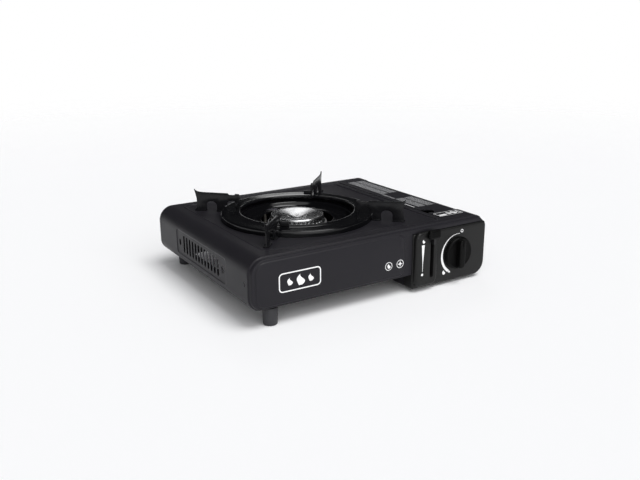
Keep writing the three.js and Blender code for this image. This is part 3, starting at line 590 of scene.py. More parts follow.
def capsule_ring(
    a_lines: np.ndarray, b_lines: np.ndarray, centre: Sequence[float], half_core: Sequence[float], radius: float
) -> np.ndarray:
    """A patch between a block of grid lines and the round-ended slot inside it.

    Each point P of the block's border pairs with k + r (P - k) / |P - k|, where k is the point of
    the slot's middle line nearest to P, and the rows run from that point (share 0) to P (share 1).

    Args:
        a_lines: the block's grid lines along a.
        b_lines: the block's grid lines along b.
        centre: the slot's middle.
        half_core: half the length of the slot's middle line along a and b, one of them 0.
        radius: half the slot's width.

    Returns:
        A grid of shape (rows, border points, 2), to be closed round.
    """
    a0, a1, b0, b1 = a_lines[0], a_lines[-1], b_lines[0], b_lines[-1]
    border = np.concatenate(
        [pairs(a_lines[:-1], b0), pairs(a1, b_lines[:-1]), pairs(a_lines[:0:-1], b1), pairs(a0, b_lines[:0:-1])]
    )
    away = border - np.asarray(centre, float)
    core = np.clip(away, -np.asarray(half_core, float), np.asarray(half_core, float))
    spoke = away - core
    inner = np.asarray(centre, float) + core + radius * unit(spoke)
    return np.stack([inner + share * (border - inner) for share in (0.0, 0.3, 1.0)])


class Pattern:
    """Grids and flat fills, in millimetres, that are sewn into one mesh."""

    BEVEL_STEPS = 2  # parts of each rounded edge
    BEVEL_FROM = 40.0  # degrees that an edge turns before it is rounded
    BEVEL_SHARP = 50.0  # degrees that an edge beside a rounded one turns before it stays crisp

    def __init__(self) -> None:
        """Starts with no points and no faces."""
        self.points: list[np.ndarray] = []
        self.faces: list[list[int]] = []
        self.count = 0

    def grid(self, points: np.ndarray, keep: np.ndarray | None = None, around: bool = False) -> "Pattern":
        """Adds a grid of quads between neighbouring rows and columns.

        Args:
            points: shape (rows, columns, 3).
            keep: which cells stay, shape (rows - 1, columns - 1).
            around: whether the last column joins the first.

        Returns:
            This pattern.
        """
        rows, columns = points.shape[:2]
        cells = quads(rows, columns, self.count, around)
        cells = cells.reshape(-1, 4) if keep is None else cells[keep]
        self.points.append(points.reshape(-1, 3))
        self.faces.extend(cells.tolist())
        self.count += rows * columns
        return self

    def fill(self, *loops: np.ndarray) -> "Pattern":
        """Adds a flat fill inside the first loop and outside the others.

        Args:
            *loops: closed loops of points, shape (n, 3), all in one plane.

        Returns:
            This pattern.
        """
        work = bmesh.new()
        for loop in loops:
            verts = [work.verts.new(p) for p in loop.tolist()]
            for first, second in zip(verts, verts[1:] + verts[:1]):
                work.edges.new((first, second))
        bmesh.ops.triangle_fill(work, use_beauty=True, use_dissolve=False, edges=work.edges[:])
        work.verts.index_update()
        self.points.append(np.array([v.co[:] for v in work.verts], float).reshape(-1, 3))
        self.faces.extend([[v.index + self.count for v in f.verts] for f in work.faces])
        self.count += len(work.verts)
        work.free()
        return self

    def solid(self, corners: Corners, profile: Rows, place: Callable, steps: int = 8) -> "Pattern":
        """Adds a closed body: stacked outlines with a flat fill at both ends.

        Args:
            corners: the outline's corners.
            profile: (inset, depth) rows from one end to the other.
            place: upright or level.
            steps: parts of each corner.

        Returns:
            This pattern.
        """
        stack = rings(corners, profile, place, steps)
        return self.grid(stack, around=True).fill(stack[0]).fill(stack[-1])

    def lathe(self, profile: Rows, centre: Sequence[float], sides: int = 96, axis: str = "z") -> "Pattern":
        """Adds a profile of (radius, height) turned round an axis; the arguments are those of turned()."""
        return self.grid(turned(profile, centre, sides, axis), around=True)

    def patch(self, corners: Corners, place: Callable, depth: float, width: float = 0.0) -> "Pattern":
        """Adds a flat patch, or only a frame along its outline.

        Args:
            corners: the outline's corners.
            place: upright or level.
            depth: where it lies.
            width: the frame's width, 0 for a full patch.

        Returns:
            This pattern.
        """
        loops = [outline(corners), outline(corners, width)] if width else [outline(corners)]
        return self.fill(*(place(loop, depth) for loop in loops))

    def printed(self, name: str, body: str, inside: Sequence[float], ink: Finish = Finishes.white_ink) -> None:
        """Finishes a flat pattern as a film of ink.

        Args:
            name: the piece's name.
            body: the CAD body that it rides on.
            inside: a point behind the print.
            ink: its finish.
        """
        self.piece(name, body, ink, wall=INK, inside=inside)

    def piece(
        self, name: str, body: str, finish: Finish, stands_for: Sequence[str] = (), slot: str | None = None,
        wall: float = 0.0, bevel: float = 0.0, inside: Sequence[float] | None = None, sharp: float = 32.0,
        transform: Matrix | None = None,
    ) -> None:
        """Sews the pattern into a finished piece in the row frame.

        Args:
            name: the piece's name.
            body: the CAD body that it rides on.
            finish: its finish.
            stands_for: the CAD nodes that it replaces.
            slot: the record's material slot; not used.
            wall: sheet thickness that grows inwards, 0 for a closed body.
            bevel: width of the rounded edges, 0 for none.
            inside: a point that an open sheet turns its back to.
            sharp: edges that turn more than this many degrees stay crisp.
            transform: a turn or shift of the mesh, in millimetres.
        """
        mesh = bpy.data.meshes.new(name)
        mesh.from_pydata(np.concatenate(self.points).tolist(), [], self.faces)
        work = bmesh.new()
        work.from_mesh(mesh)
        bmesh.ops.remove_doubles(work, verts=work.verts[:], dist=WELD)
        bmesh.ops.dissolve_degenerate(work, dist=SLIVER, edges=work.edges[:])
        bmesh.ops.delete(work, geom=[v for v in work.verts if not v.link_faces], context="VERTS")
        bmesh.ops.recalc_face_normals(work, faces=work.faces[:])
        if inside is not None:
            point = Vector(inside)
            if sum(f.calc_area() * f.normal.dot(f.calc_center_median() - point) for f in work.faces) < 0:
                bmesh.ops.reverse_faces(work, faces=work.faces[:])
        if transform is not None:
            work.transform(transform)
        work.transform(Matrix.Scale(MM, 4))
        work.to_mesh(mesh)
        work.free()
        obj = show(name, mesh)
        if wall:
            shell = obj.modifiers.new("sheet", "SOLIDIFY")
            shell.thickness, shell.offset, shell.use_even_offset = wall * MM, -1.0, False
        if bevel:
            edge = obj.modifiers.new("edge", "BEVEL")
            edge.width, edge.segments, edge.limit_method = bevel * MM, self.BEVEL_STEPS, "ANGLE"
            edge.angle_limit = math.radians(self.BEVEL_FROM)
        if wall or bevel:
            settled = bpy.data.meshes.new_from_object(obj.evaluated_get(bpy.context.evaluated_depsgraph_get()))
            obj.modifiers.clear()
            obj.data = settled
            settled.name = name
        paint(obj.data, finish)
        obj.data.polygons.foreach_set("use_smooth", np.ones(len(obj.data.polygons), bool))
        obj.data.set_sharp_from_angle(angle=math.radians(max(sharp, self.BEVEL_SHARP) if bevel else sharp))
        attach(obj, body)
        if stands_for:
            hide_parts(*stands_for)
        LOG.info("%s: %d faces on %s", name, len(obj.data.polygons), body)


# ---------------------------------------------------------------- the casing


@dataclass(frozen=True)
class Plan:
    """Where the main planes and axes of the stove lie, in millimetres, read from the frame."""

    left: float
    right: float
    front: float
    rear: float
    top: float
    burner_floor: float
    fuel_floor: float
    step: float
    shell_front: float
    shell_rear: float
    lid_left: float
    lid_front: float
    lid_rear: float
    panel_left: float
    panel_top: float
    panel_back: float
    burner: tuple[float, float]
    knob: tuple[float, float]
    lever: tuple[float, float]

    @classmethod
    def read(cls) -> "Plan":
        """Reads the plan from the CAD nodes' boxes.

        Returns:
            The plan.
        """
        at = {n: in_mm(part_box(n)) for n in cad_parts}
        shell, panel, lid, bowl = at["body_shell"], at["control_panel"], at["fuel_lid"], at["drip_bowl"]
        knob, tab = at["control_knob"], at["lever_tab"]
        return cls(
            left=shell[0], right=shell[3], front=at["front_panel"][1], rear=at["rear_panel"][4], top=shell[5],
            burner_floor=shell[2], fuel_floor=at["fuel_tray"][2], step=panel[0] - GAP, shell_front=shell[1],
            shell_rear=shell[4], lid_left=lid[0], lid_front=lid[1], lid_rear=lid[4], panel_left=panel[0],
            panel_top=panel[5] - 2, panel_back=panel[4], burner=((bowl[0] + bowl[3]) / 2, (bowl[1] + bowl[4]) / 2),
            knob=((knob[0] + knob[3]) / 2, (knob[2] + knob[5]) / 2), lever=((tab[0] + tab[3]) / 2, tab[5]),
        )

    @property
    def middle(self) -> float:
        """Y of the plane halfway between front and rear."""
        return (self.front + self.rear) / 2


@dataclass(frozen=True)
class Casing:
    """Painted sheet-metal casing: the wrapped shell, both end caps, the fuel tray and their pressed detail."""

    plan: Plan
    sheet: float = 0.7
    top_left: float = 19.0
    top_right: float = 14.0
    bottom_left: float = 15.5
    bottom_right: float = 17.0
    step_radius: float = 3.0
    seam: float = 0.3
    recess: float = 1.0
    recess_edge: float = 1.8
    bead: float = 0.55
    bead_width: float = 1.5
    vent_pitch: float = 9.2
    vent_width: float = 5.2
    vent_height: float = 22.4
    vent_middle: float = 51.0
    vent_count: int = 12
    vent_depth: float = 0.8
    vent_grid: float = 2.3
    vent_half: float = 71.3
    vent_low: float = 38.6
    vent_high: float = 64.4
    vent_rows: int = 13
    end_vent_gap: float = 13.0
    end_vent_core: float = 1.7
    oval_lines: tuple[int, int] = (-54, -51)
    oval_low: float = 47.2
    oval_high: float = 55.8
    oval_from_middle: float = 120.7
    oval_height: float = 51.8
    oval_core: float = 1.6
    oval_radius: float = 1.1
    panel_right: float = 38.4
    panel_side: float = 5.8
    panel_border: float = 4.3
    panel_gap: float = 0.8
    deck_field: tuple[float, float, float, float] = (30.0, 11.0, 23.3, 16.0)
    nose_front: float = 14.8
    vent_field: tuple[float, float, float] = (73.0, 35.5, 66.5)
    lid_ledge: float = 2.0
    lid_foot: float = 31.875
    bowl_hole: float = 70.0
    hinge_height: float = 34.0
    hinge_inset: float = 26.0
    knuckle: float = 7.7
    knuckle_pitch: float = 8.0

    def corners(self) -> list[tuple[float, float, float]]:
        """Lists the corners of the casing's end view.

        Returns:
            Corners as (x, z, radius), counter-clockwise.
        """
        p = self.plan
        return [
            (p.left, p.burner_floor, self.bottom_left), (p.step, p.burner_floor, self.step_radius),
            (p.step, p.fuel_floor, self.step_radius), (p.right, p.fuel_floor, self.bottom_right),
            (p.right, p.top, self.top_right), (p.left, p.top, self.top_left),
        ]

    def path(self) -> np.ndarray:
        """The shell's end view from the turned-in bottom edge, up the left side, over the deck and down the right.

        Returns:
            Rows of x, z and the outward normal's x and z.
        """
        p = self.plan
        low = polar(
            (p.left + self.bottom_left, p.burner_floor + self.bottom_left), self.bottom_left,
            [*range(270, 209, -10), 202, 197, *np.linspace(194, 180, 11)],
        )
        heights = np.linspace(self.vent_low, self.vent_high, self.vent_rows)
        wall = pairs(p.left, heights)[:-1]
        centre = (p.left + self.top_left, p.top - self.top_left)
        join = 180 - math.degrees(math.asin((self.vent_high - centre[1]) / self.top_left))
        high = polar(centre, self.top_left, [join, *np.linspace(173.6, 163.8, 8), 162, 158, 152, *range(146, 89, -7)])
        # Closer lines lie at the borders of the pressed field, and less close ones round its corners.
        deck_x = ruled(
            centre[0], p.right - self.top_right, 4.0,
            [(-142.4, -137.6, 0.4), (-137.6, -126, 1.3), (46.4, 51.6, 0.4), (90, 100.6, 1.3), (100.6, 105.4, 0.4)],
            at=(p.lid_left - self.lid_ledge,),
        )[1:-1]
        deck = pairs(deck_x, p.top)
        turn = (p.right - self.top_right, p.top - self.top_right)
        cut = math.degrees(math.asin((p.panel_top + self.panel_gap - turn[1]) / self.top_right))
        side = polar(turn, self.top_right, [90, *range(84, 41, -7), 36, cut, 25, 19, 13, 6, 0])
        down = pairs(p.right, [58.0, 46.0, self.hinge_height, self.lid_foot, p.fuel_floor + self.bottom_right])
        start = np.array([[p.left + self.bottom_left + 0.5, p.burner_floor]])
        line = np.concatenate([start, low, wall, high, deck, side, down])
        along = heading(line)
        return np.concatenate([line, pairs(-along[:, 1], along[:, 0])], 1)

    def edge(self, distance: np.ndarray, depth: float) -> np.ndarray:
        """Depth of a pressed field: an eased shoulder, less a low bead with a cosine section just outside it.

        Args:
            distance: how far outside the field's border a point lies.
            depth: the field's depth.

        Returns:
            How far each point is pressed in.
        """
        across = np.clip((distance - self.bead_width) / self.bead_width, -1, 1)
        return depth * ease(0.5 - distance / self.recess_edge) - self.bead * (0.5 + 0.5 * np.cos(math.pi * across))

    def pressed(self, x: np.ndarray, y: np.ndarray, z: np.ndarray) -> np.ndarray:
        """Depth of the rounded fields on the deck and round the vents, an eased step of the distance to each.

        Args:
            x: the points' x.
            y: the points' y.
            z: the points' z.

        Returns:
            How far each point is pressed in.
        """
        p = self.plan
        left, right, front, rear = self.deck_field
        main = rounded_distance(x, y, (p.left + left, p.lid_left - right, p.front + front, p.rear - rear), 12.0)
        nose = rounded_distance(x, y, (p.step, p.lid_left - right, p.front + self.nose_front, p.middle), 6.0)
        deck = np.where(z > p.top - 3, self.edge(np.minimum(main, nose), self.recess), 0)
        half, low, high = self.vent_field
        vents = rounded_distance(y, z, (p.middle - half, p.middle + half, low, high), 4.0)
        side = np.where(x < p.left + self.top_left, self.vent_depth * ease(0.5 - vents / self.recess_edge), 0)
        return deck + side

    def on_wall(self, flat: np.ndarray) -> np.ndarray:
        """Puts points on the left wall, which bends over at the top and is pressed in at the vents.

        With h the height above the bend's start, the wall leans in by R - (R^2 - h^2)^0.5.

        Args:
            flat: points (y, z).

        Returns:
            Points (x, y, z).
        """
        y, z = flat[..., 0], flat[..., 1]
        rise = np.maximum(z - (self.plan.top - self.top_left), 0)
        bend = self.top_left - np.sqrt(self.top_left**2 - rise**2)
        x = self.plan.left + bend + self.pressed(np.full_like(y, self.plan.left), y, z)
        return np.stack([x, y, z], -1)

    def shell(self) -> None:
        """Builds the wrapped shell with its vents, bowl hole, lid opening and the ledge folded down along it."""
        p = self.plan
        mid = p.middle
        path = self.path()
        reach = round(self.vent_half / self.vent_grid)
        first, last = self.oval_lines
        oval_y = mid + self.vent_grid * np.arange(first, last + 1)
        # Closer lines lie at the borders of the pressed fields, and less close ones round their corners.
        bands = [
            (p.front + 11.4, p.front + 16.2, 0.4), (p.front + 19.9, p.front + 24.7, 0.4),
            (p.front + 24.7, p.front + 35, 1.3), (p.rear - 28, p.rear - 17.4, 1.3),
            (p.rear - 17.4, p.rear - 12.6, 0.4), (mid - 76.4, mid - 71.9, 0.4), (mid + 71.9, mid + 76.4, 0.4),
        ]
        seams = (p.panel_back + GAP, p.lid_front - GAP, p.lid_rear + GAP)
        vents_y = mid + self.vent_grid * np.arange(-reach, reach + 1)
        y = ruled(p.shell_front, p.shell_rear, 4.0, bands, at=(*vents_y, *oval_y, *seams))
        x, rows, z = np.moveaxis(swept(path, y), -1, 0)
        depth = self.pressed(x, rows, z)
        points = np.stack([x - path[:, 2:3] * depth, rows, z - path[:, 3:4] * depth], -1)
        cx, cy = p.burner
        away = points[..., :2] - (cx, cy)
        far = np.linalg.norm(away, axis=-1)
        hole = (far < self.bowl_hole) & (points[..., 2] > p.top - 5)
        rim = np.array([cx, cy]) + self.bowl_hole * away / np.maximum(far, 1e-6)[..., None]
        points[..., :2] = np.where(hole[..., None], rim, points[..., :2])
        xm, ym, zm = (cell_middles(a) for a in (x, rows, z))
        keep = ~(hole[:-1, :-1] & hole[1:, :-1] & hole[1:, 1:] & hole[:-1, 1:])
        lid_edge = p.lid_left - self.lid_ledge
        oval_front, oval_back = oval_y[0], oval_y[-1]
        lid_cut = (xm > lid_edge) & (zm > self.lid_foot) & (ym > p.lid_front - GAP) & (ym < p.lid_rear + GAP)
        panel_cut = (xm > p.step) & (zm < p.panel_top + self.panel_gap) & (ym < p.panel_back + GAP)
        on_left = (xm < p.left + 3) & (zm > self.vent_low)
        vent_cut = on_left & (zm < self.vent_high) & (np.abs(ym - mid) < self.vent_half)
        oval_cut = on_left & (zm > self.oval_low) & (zm < self.oval_high) & (ym > oval_front) & (ym < oval_back)
        keep &= ~(lid_cut | panel_cut | vent_cut | oval_cut)
        made = Pattern().grid(points, keep)
        heights = np.linspace(self.vent_low, self.vent_high, self.vent_rows)
        for middle, low, high, half_core in self.vent_slots():
            lines = y[(y > middle + low - 0.05) & (y < middle + high + 0.05)]
            slot = capsule_ring(lines, heights, (middle, self.vent_middle), (0, half_core), self.vent_width / 2)
            made.grid(self.on_wall(slot), around=True)
        lines = y[(y > oval_front - 0.05) & (y < oval_back + 0.05)]
        oval_z = np.linspace(self.oval_low, self.oval_high, 5)
        oval = (mid - self.oval_from_middle, self.oval_height)
        made.grid(self.on_wall(capsule_ring(lines, oval_z, oval, (0, self.oval_core), self.oval_radius)), around=True)
        ledge_y = y[(y > p.lid_front - 0.4) & (y < p.lid_rear + 0.4)]
        drops = [(0, 0), (0, 3.6), (0.4, 4.0), (7, 4.0)]
        fold = np.array([[lid_edge + across, p.top - drop] for across, drop in drops])
        made.grid(swept(fold, ledge_y))
        self.pressing(made, "casing_shell", "body_shell", (0, mid, 45))

    def vent_slots(self) -> list[tuple[float, float, float, float]]:
        """Lists the vents of the left wall, a row of tall ones with a short one at each end.

        Returns:
            For each vent its middle's y, the range of its block of grid lines from there, and half
            the length of its middle line.
        """
        half = (self.vent_count - 1) / 2 * self.vent_pitch
        core, wide = (self.vent_height - self.vent_width) / 2, 2 * self.vent_grid
        first, mid = self.plan.middle - half, self.plan.middle
        slots = [(first + k * self.vent_pitch, -wide, wide, core) for k in range(self.vent_count)]
        outer, inner = self.vent_half - half - self.end_vent_gap, self.end_vent_gap - wide
        slots.append((mid - half - self.end_vent_gap, -outer, inner, self.end_vent_core))
        slots.append((mid + half + self.end_vent_gap, -inner, outer, self.end_vent_core))
        return slots

    def pressing(self, made: Pattern, name: str, node: str, inside: Sequence[float]) -> None:
        """Finishes an open pattern as a painted sheet of the casing.

        Args:
            made: the pattern.
            name: the piece's name.
            node: the CAD node that it replaces.
            inside: a point that the sheet turns its back to.
        """
        made.piece(name, "casing", Finishes.powder_coat, [node], "paint", wall=self.sheet, inside=inside, sharp=40)

    def hinge_half(
        self, name: str, body: str, starts: Sequence[float], strap: tuple[float, float, float, float]
    ) -> None:
        """Rolled knuckles of the lid hinge, each with the strap that joins it to its sheet.

        Args:
            name: the piece's name.
            body: the body that it rides on.
            starts: Y of each knuckle's front end.
            strap: the strap's x0, x1, z0 and z1.
        """
        made = Pattern()
        bore, round_edge, outer = 1.2, 1.65, 1.8
        axis = (self.plan.right - outer, self.hinge_height)
        for start in starts:
            end = start + self.knuckle
            barrel = [(bore, start), (round_edge, start), (outer, start + 0.15), (outer, end - 0.15)]
            barrel += [(round_edge, end), (bore, end), (bore, start)]
            made.lathe(barrel, axis, 24, "y")
            made.solid(rectangle(*strap, 0.1), [(0, start + 0.1), (0, end - 0.1)], upright, 1)
        made.piece(name, body, Finishes.powder_coat, slot="paint", sharp=40)

    def knuckle_starts(self) -> list[float]:
        """Y of the front end of each knuckle of the shell; the lid's lie one pitch behind."""
        inset, pitch = self.hinge_inset, self.knuckle_pitch
        return [self.plan.lid_front - GAP + inset, self.plan.lid_rear + GAP - inset - 2 * pitch]

    def cap_path(self, inset: float) -> np.ndarray:
        """Follows the front cap's edge from above the control panel round to the step.

        Args:
            inset: how far the line lies inside the edge.

        Returns:
            An open line of (x, z).
        """
        p = self.plan
        tr, tl = (p.right - self.top_right, p.top - self.top_right), (p.left + self.top_left, p.top - self.top_left)
        bl = (p.left + self.bottom_left, p.burner_floor + self.bottom_left)
        first = math.degrees(math.asin((p.panel_top + self.panel_gap - tr[1]) / (self.top_right - inset)))
        top = np.linspace(tr[0], tl[0], 40)[1:-1]
        foot = np.linspace(bl[0], p.step - 0.1, 24)[1:]
        return np.concatenate(
            [
                polar(tr, self.top_right - inset, np.linspace(first, 90, 10)), pairs(top, p.top - inset),
                polar(tl, self.top_left - inset, np.linspace(90, 180, 15)),
                polar(bl, self.bottom_left - inset, np.linspace(180, 270, 13)), pairs(foot, p.burner_floor + inset),
            ]
        )

    def front_cap(self) -> None:
        """Builds the front cap: a rolled rear edge, a rounded rim, a flat border and a raised panel."""
        p = self.plan
        face, back = p.front + 1.2, p.shell_front - self.seam
        rolled = [(0.5, 0), (0.1, -0.1), (-0.15, -0.35), (-0.15, -0.6), (-0.05, -0.8), (0.05, -0.9)]
        rim = shifted(rolled + [(1.15, -2.0), (1.25, -2.1), (1.3, -2.3), (1.5, -3.2)], 0, back)
        rim += shifted([(2.0, 1.0), (2.4, 0.4), (3.0, 0.1), (4.0, 0)], 0, face)
        made = Pattern().grid(np.stack([upright(self.cap_path(inset), y) for inset, y in rim]))
        edge = self.cap_path(4.0)
        close = np.array([[p.step - 0.1, p.panel_top + self.panel_gap]])
        left, right, border = p.left + self.panel_side, self.panel_right, self.panel_border
        low, high = p.burner_floor + border, p.top - border
        panel = [(left, low, 11.0), (right, low, 9.0), (right, high, 9.0), (left, high, 13.0)]
        step = rings(
            panel,
            [
                (0, face), (0.03, face - 0.01), (0.13, face - 0.11), (1.1, p.front + 0.12), (1.2, p.front + 0.02),
                (1.25, p.front),
            ],
            upright, 12,
        )
        made.fill(upright(np.concatenate([edge, close]), face), step[0]).grid(step, around=True).fill(step[-1])
        self.pressing(made, "front_cap", "front_panel", (-20, p.middle, 50))

    def rear_cap(self) -> None:
        """Builds the rear cap with a shallow pressed panel on each side of the step."""
        p = self.plan
        start = p.shell_rear + self.seam
        rim = [(0.4, start), (0, start + 0.35)] + quarter(3.0, 3.0, p.rear - 3.0, 6, 1.0)
        stack = rings(self.corners(), rim, upright, 10)
        made = Pattern().grid(stack, around=True)
        holes = []
        for x0, x1, z0 in (
            (p.left + 12, p.step - 8, p.burner_floor + 9), (p.step + 6, p.right - 12, p.fuel_floor + 12)
        ):
            press = rings(
                rectangle(x0, x1, z0, p.top - 11, 9),
                [(0, p.rear), (0.4, p.rear - 0.1), (1.0, p.rear - 0.9), (1.5, p.rear - 1.0)], upright, 8,
            )
            made.grid(press, around=True).fill(press[-1])
            holes.append(press[0])
        made.fill(stack[-1], *holes)
        self.pressing(made, "rear_cap", "rear_panel", (0, p.middle, 45))

    def tray(self) -> None:
        """Builds the tray under the fuel bay: down the step, across the floor and up the right side."""
        p = self.plan
        r, s = self.bottom_right, self.step_radius
        line = np.concatenate(
            [
                [[p.step, p.burner_floor - 0.4]], polar((p.step + s, p.fuel_floor + s), s, np.linspace(180, 270, 7)),
                pairs(np.linspace(p.step + s, p.right - r, 12)[1:-1], p.fuel_floor),
                polar((p.right - r, p.fuel_floor + r), r, np.linspace(270, 360, 17)),
            ]
        )
        line[-1, 1] -= self.seam
        made = Pattern().grid(swept(line, ruled(p.panel_back + GAP, p.shell_rear, 12.0)))
        self.pressing(made, "fuel_bay_tray", "fuel_tray", (110, p.middle, 50))

    def build(self) -> None:
        """Builds every casing piece."""
        p = self.plan
        self.shell()
        self.front_cap()
        self.rear_cap()
        self.tray()
        strap = (p.right - 2.4, p.right - 1.2, 30.7, self.hinge_height)
        self.hinge_half("shell_knuckles", "casing", self.knuckle_starts(), strap)


@dataclass(frozen=True)
class FuelLid:
    """Painted lid over the fuel bay, hinged low on the right side."""

    plan: Plan
    casing: Casing
    sheet: float = 1.2
    dip_middle: float = 32.7
    dip_radius: float = 8.0
    dip_reach: float = 15.0
    dip_block: float = 11.5
    dip_end: float = 131.0
    field_left: float = 120.0
    field_front: float = 19.0
    field_rear: float = 6.0
    press: float = 0.8
    press_edge: float = 1.8
    strip_left: float = 115.2
    gap_top: float = 36.2
    hem: float = 34.3
    field_low: float = 14.0

    def shell(self) -> None:
        """Builds the lid's curved sheet with its pressed field and finger notch."""
        p, c = self.plan, self.casing
        left, dip = p.lid_left, p.lid_front + self.dip_middle
        turn = (p.right - c.top_right, p.top - c.top_right)
        flange = np.array([[left, p.top - 3.7], [left, p.top - 0.7], [left + 0.2, p.top - 0.2]])
        top_x = ruled(left + 0.7, turn[0], 2.3, [(118.6, 121.4, 0.35)], at=(self.dip_end,))
        top = pairs(top_x, p.top)
        corner = polar(turn, c.top_right, np.linspace(90, 0, 19))[1:]
        down = pairs(p.right, [62, 57, 54, 51.5, 50.2, 48.9, 44, self.gap_top, self.hem])
        line = np.concatenate([flange, top, corner, down])
        along = heading(line)
        length = np.concatenate([[0], np.cumsum(np.linalg.norm(np.diff(line, axis=0), axis=1))])
        length += left + 0.7 - length[3]
        knuckles = c.knuckle_starts()
        block = (dip - self.dip_block, dip + self.dip_block)
        y = ruled(
            p.lid_front, p.lid_rear, 4.6,
            [
                (p.lid_front + 17.6, p.lid_front + 20.4, 0.35), (p.lid_rear - 7.4, p.lid_rear - 4.6, 0.35),
                (*block, 2.3),
            ],
            at=(
                block[0], dip - self.dip_radius, dip + self.dip_radius, block[1],
                *[k + d for k in knuckles for d in (-GAP, c.knuckle_pitch)],
            ),
        )
        x, rows, z = np.moveaxis(swept(line, y), -1, 0)
        depth = self.pressed(np.broadcast_to(length[:, None], x.shape), rows, length[-1] - self.field_low)
        points = np.stack([x + along[:, 1:] * depth, rows, z - along[:, :1] * depth], -1)
        xm, ym, zm = (cell_middles(a) for a in (x, rows, z))
        notch = (ym > block[0]) & (ym < block[1]) & (xm > left + 0.7) & (xm < self.dip_end) & (zm > p.top - 0.1)
        mouth = (np.abs(ym - dip) < self.dip_radius) & (xm < left + 0.7)
        gaps = np.zeros_like(notch)
        for k in knuckles:
            gaps |= (zm < self.gap_top) & (ym > k - GAP) & (ym < k + c.knuckle_pitch)
        made = Pattern().grid(points, ~(notch | mouth | gaps))
        xs, ys = top_x[top_x < self.dip_end + 0.01], y[(y > block[0] - 0.1) & (y < block[1] + 0.1)]
        border = np.concatenate([pairs(xs[:-1], ys[0]), pairs(self.dip_end, ys), pairs(xs[-2::-1], ys[-1])])
        core = pairs(np.minimum(border[:, 0], left + self.dip_reach - self.dip_radius), dip)
        inner = core + self.dip_radius * unit(border - core)
        flat = np.stack([inner + s * (border - inner) for s in (0, 0.15, 0.5, 1)])
        beyond = 200.0  # the notch lies so far from the field's right end that its place has no effect
        made.grid(level(flat, p.top - self.pressed(flat[..., 0], flat[..., 1], beyond)))
        made.piece(
            "fuel_bay_lid", "lid", Finishes.powder_coat, ["fuel_lid"], "paint", wall=self.sheet,
            inside=(110, p.middle, 20), sharp=40,
        )

    def pressed(self, u: np.ndarray, y: np.ndarray, right: float) -> np.ndarray:
        """Depth of the lid's pressed field, an eased step of the distance to its rounded border.

        Args:
            u: distance along the sheet, equal to x on the top.
            y: the points' y.
            right: the field's far end along the sheet.

        Returns:
            How far each point is pressed in.
        """
        p = self.plan
        box = (self.field_left, right, p.lid_front + self.field_front, p.lid_rear - self.field_rear)
        return self.press * ease(0.5 - rounded_distance(u, y, box, 5) / self.press_edge)

    def dashes(
        self, made: Pattern, x: tuple[float, float], y: tuple[float, float], pitch: float, count: int,
        random: np.random.Generator,
    ) -> None:
        """Adds rows of short dashes of uneven length, a ruled field with no letters in it.

        In each row the ends lie at the running sum of random lengths, stretched to fill the row.

        Args:
            made: the printed pattern.
            x: the field's left and right side.
            y: the field's front and rear side.
            pitch: distance from row to row.
            count: dashes in each row.
            random: the source of the lengths.
        """
        rows = int((y[1] - y[0]) / pitch)
        lengths = random.uniform(0.5, 1.6, (rows, 2 * count - 1))
        lengths[:, 1::2] = 0.28
        ends = np.concatenate([np.zeros((rows, 1)), np.cumsum(lengths, 1)], 1)
        across = x[0] + (x[1] - x[0]) * ends / ends[:, -1:] * random.uniform(0.86, 1.0, (rows, 1))
        starts = y[0] + pitch * np.arange(rows)[:, None] + np.array([0.0, 0.52 * pitch])
        rise = self.plan.top - self.press + LID_PRINT
        grid = np.stack(
            [
                np.repeat(across, 2, 0), np.repeat(starts.reshape(-1, 1), 2 * count, 1),
                np.full((2 * rows, 2 * count), rise),
            ],
            -1,
        )
        keep = np.zeros((2 * rows - 1, 2 * count - 1), bool)
        keep[::2, ::2] = True
        made.grid(grid, keep)

    def printing(self) -> None:
        """Prints the lid's generic marks: ruled fields, a line beside them and a framed sign with flames."""
        front, back, random = self.plan.lid_front, self.plan.middle, np.random.default_rng(7)
        made = Pattern()
        fields = [
            (125.0, 138.2, 30, 117, 4), (139.8, 152.5, 30, 117, 4), (124.0, 137.4, -54, -2, 4),
            (139.0, 152.5, -54, -2, 4), (123.0, 126.4, -1, 28, 1),
        ]
        for x0, x1, y0, y1, count in fields:
            self.dashes(made, (x0, x1), (back + y0, back + y1), 2.4, count, random)
        made.printed("lid_ruled_fields", "lid", (135, 40, 0), Finishes.grey_ink)
        sign, z = Pattern(), self.plan.top + LID_PRINT
        sign.patch(rectangle(114.6, 152.5, front + 1.5, front + 17.0, 1.2), level, z, width=0.8)
        sign.patch(rectangle(116.4, 127.6, front + 3.2, front + 8.6, 0.6), level, z)
        for y in front + 4.0 + 4.0 * np.arange(3):
            sign.patch(rectangle(147.6, 151.0, y, y + 1.7, 0.3), level, z)
        for x, size in ((133.6, 9.0), (141.8, 11.0)):
            sign.fill(level(flame(x, front + 9.3 - size / 2, size), z))
        sign.printed("lid_flame_sign", "lid", (135, -90, 0))
        line = Pattern().patch(rectangle(self.strip_left, 116.6, back - 56, back - 35, 0.4), level, z)
        line.printed("lid_line", "lid", (115, -40, 0))

    def build(self) -> None:
        """Builds the lid, its knuckles and its printing."""
        right, c = self.plan.right, self.casing
        self.shell()
        starts = [start + c.knuckle_pitch for start in c.knuckle_starts()]
        c.hinge_half("lid_knuckles", "lid", starts, (right - 1.2, right, c.hinge_height, c.hinge_height + 1.3))
        self.printing()


# ---------------------------------------------------------------- controls


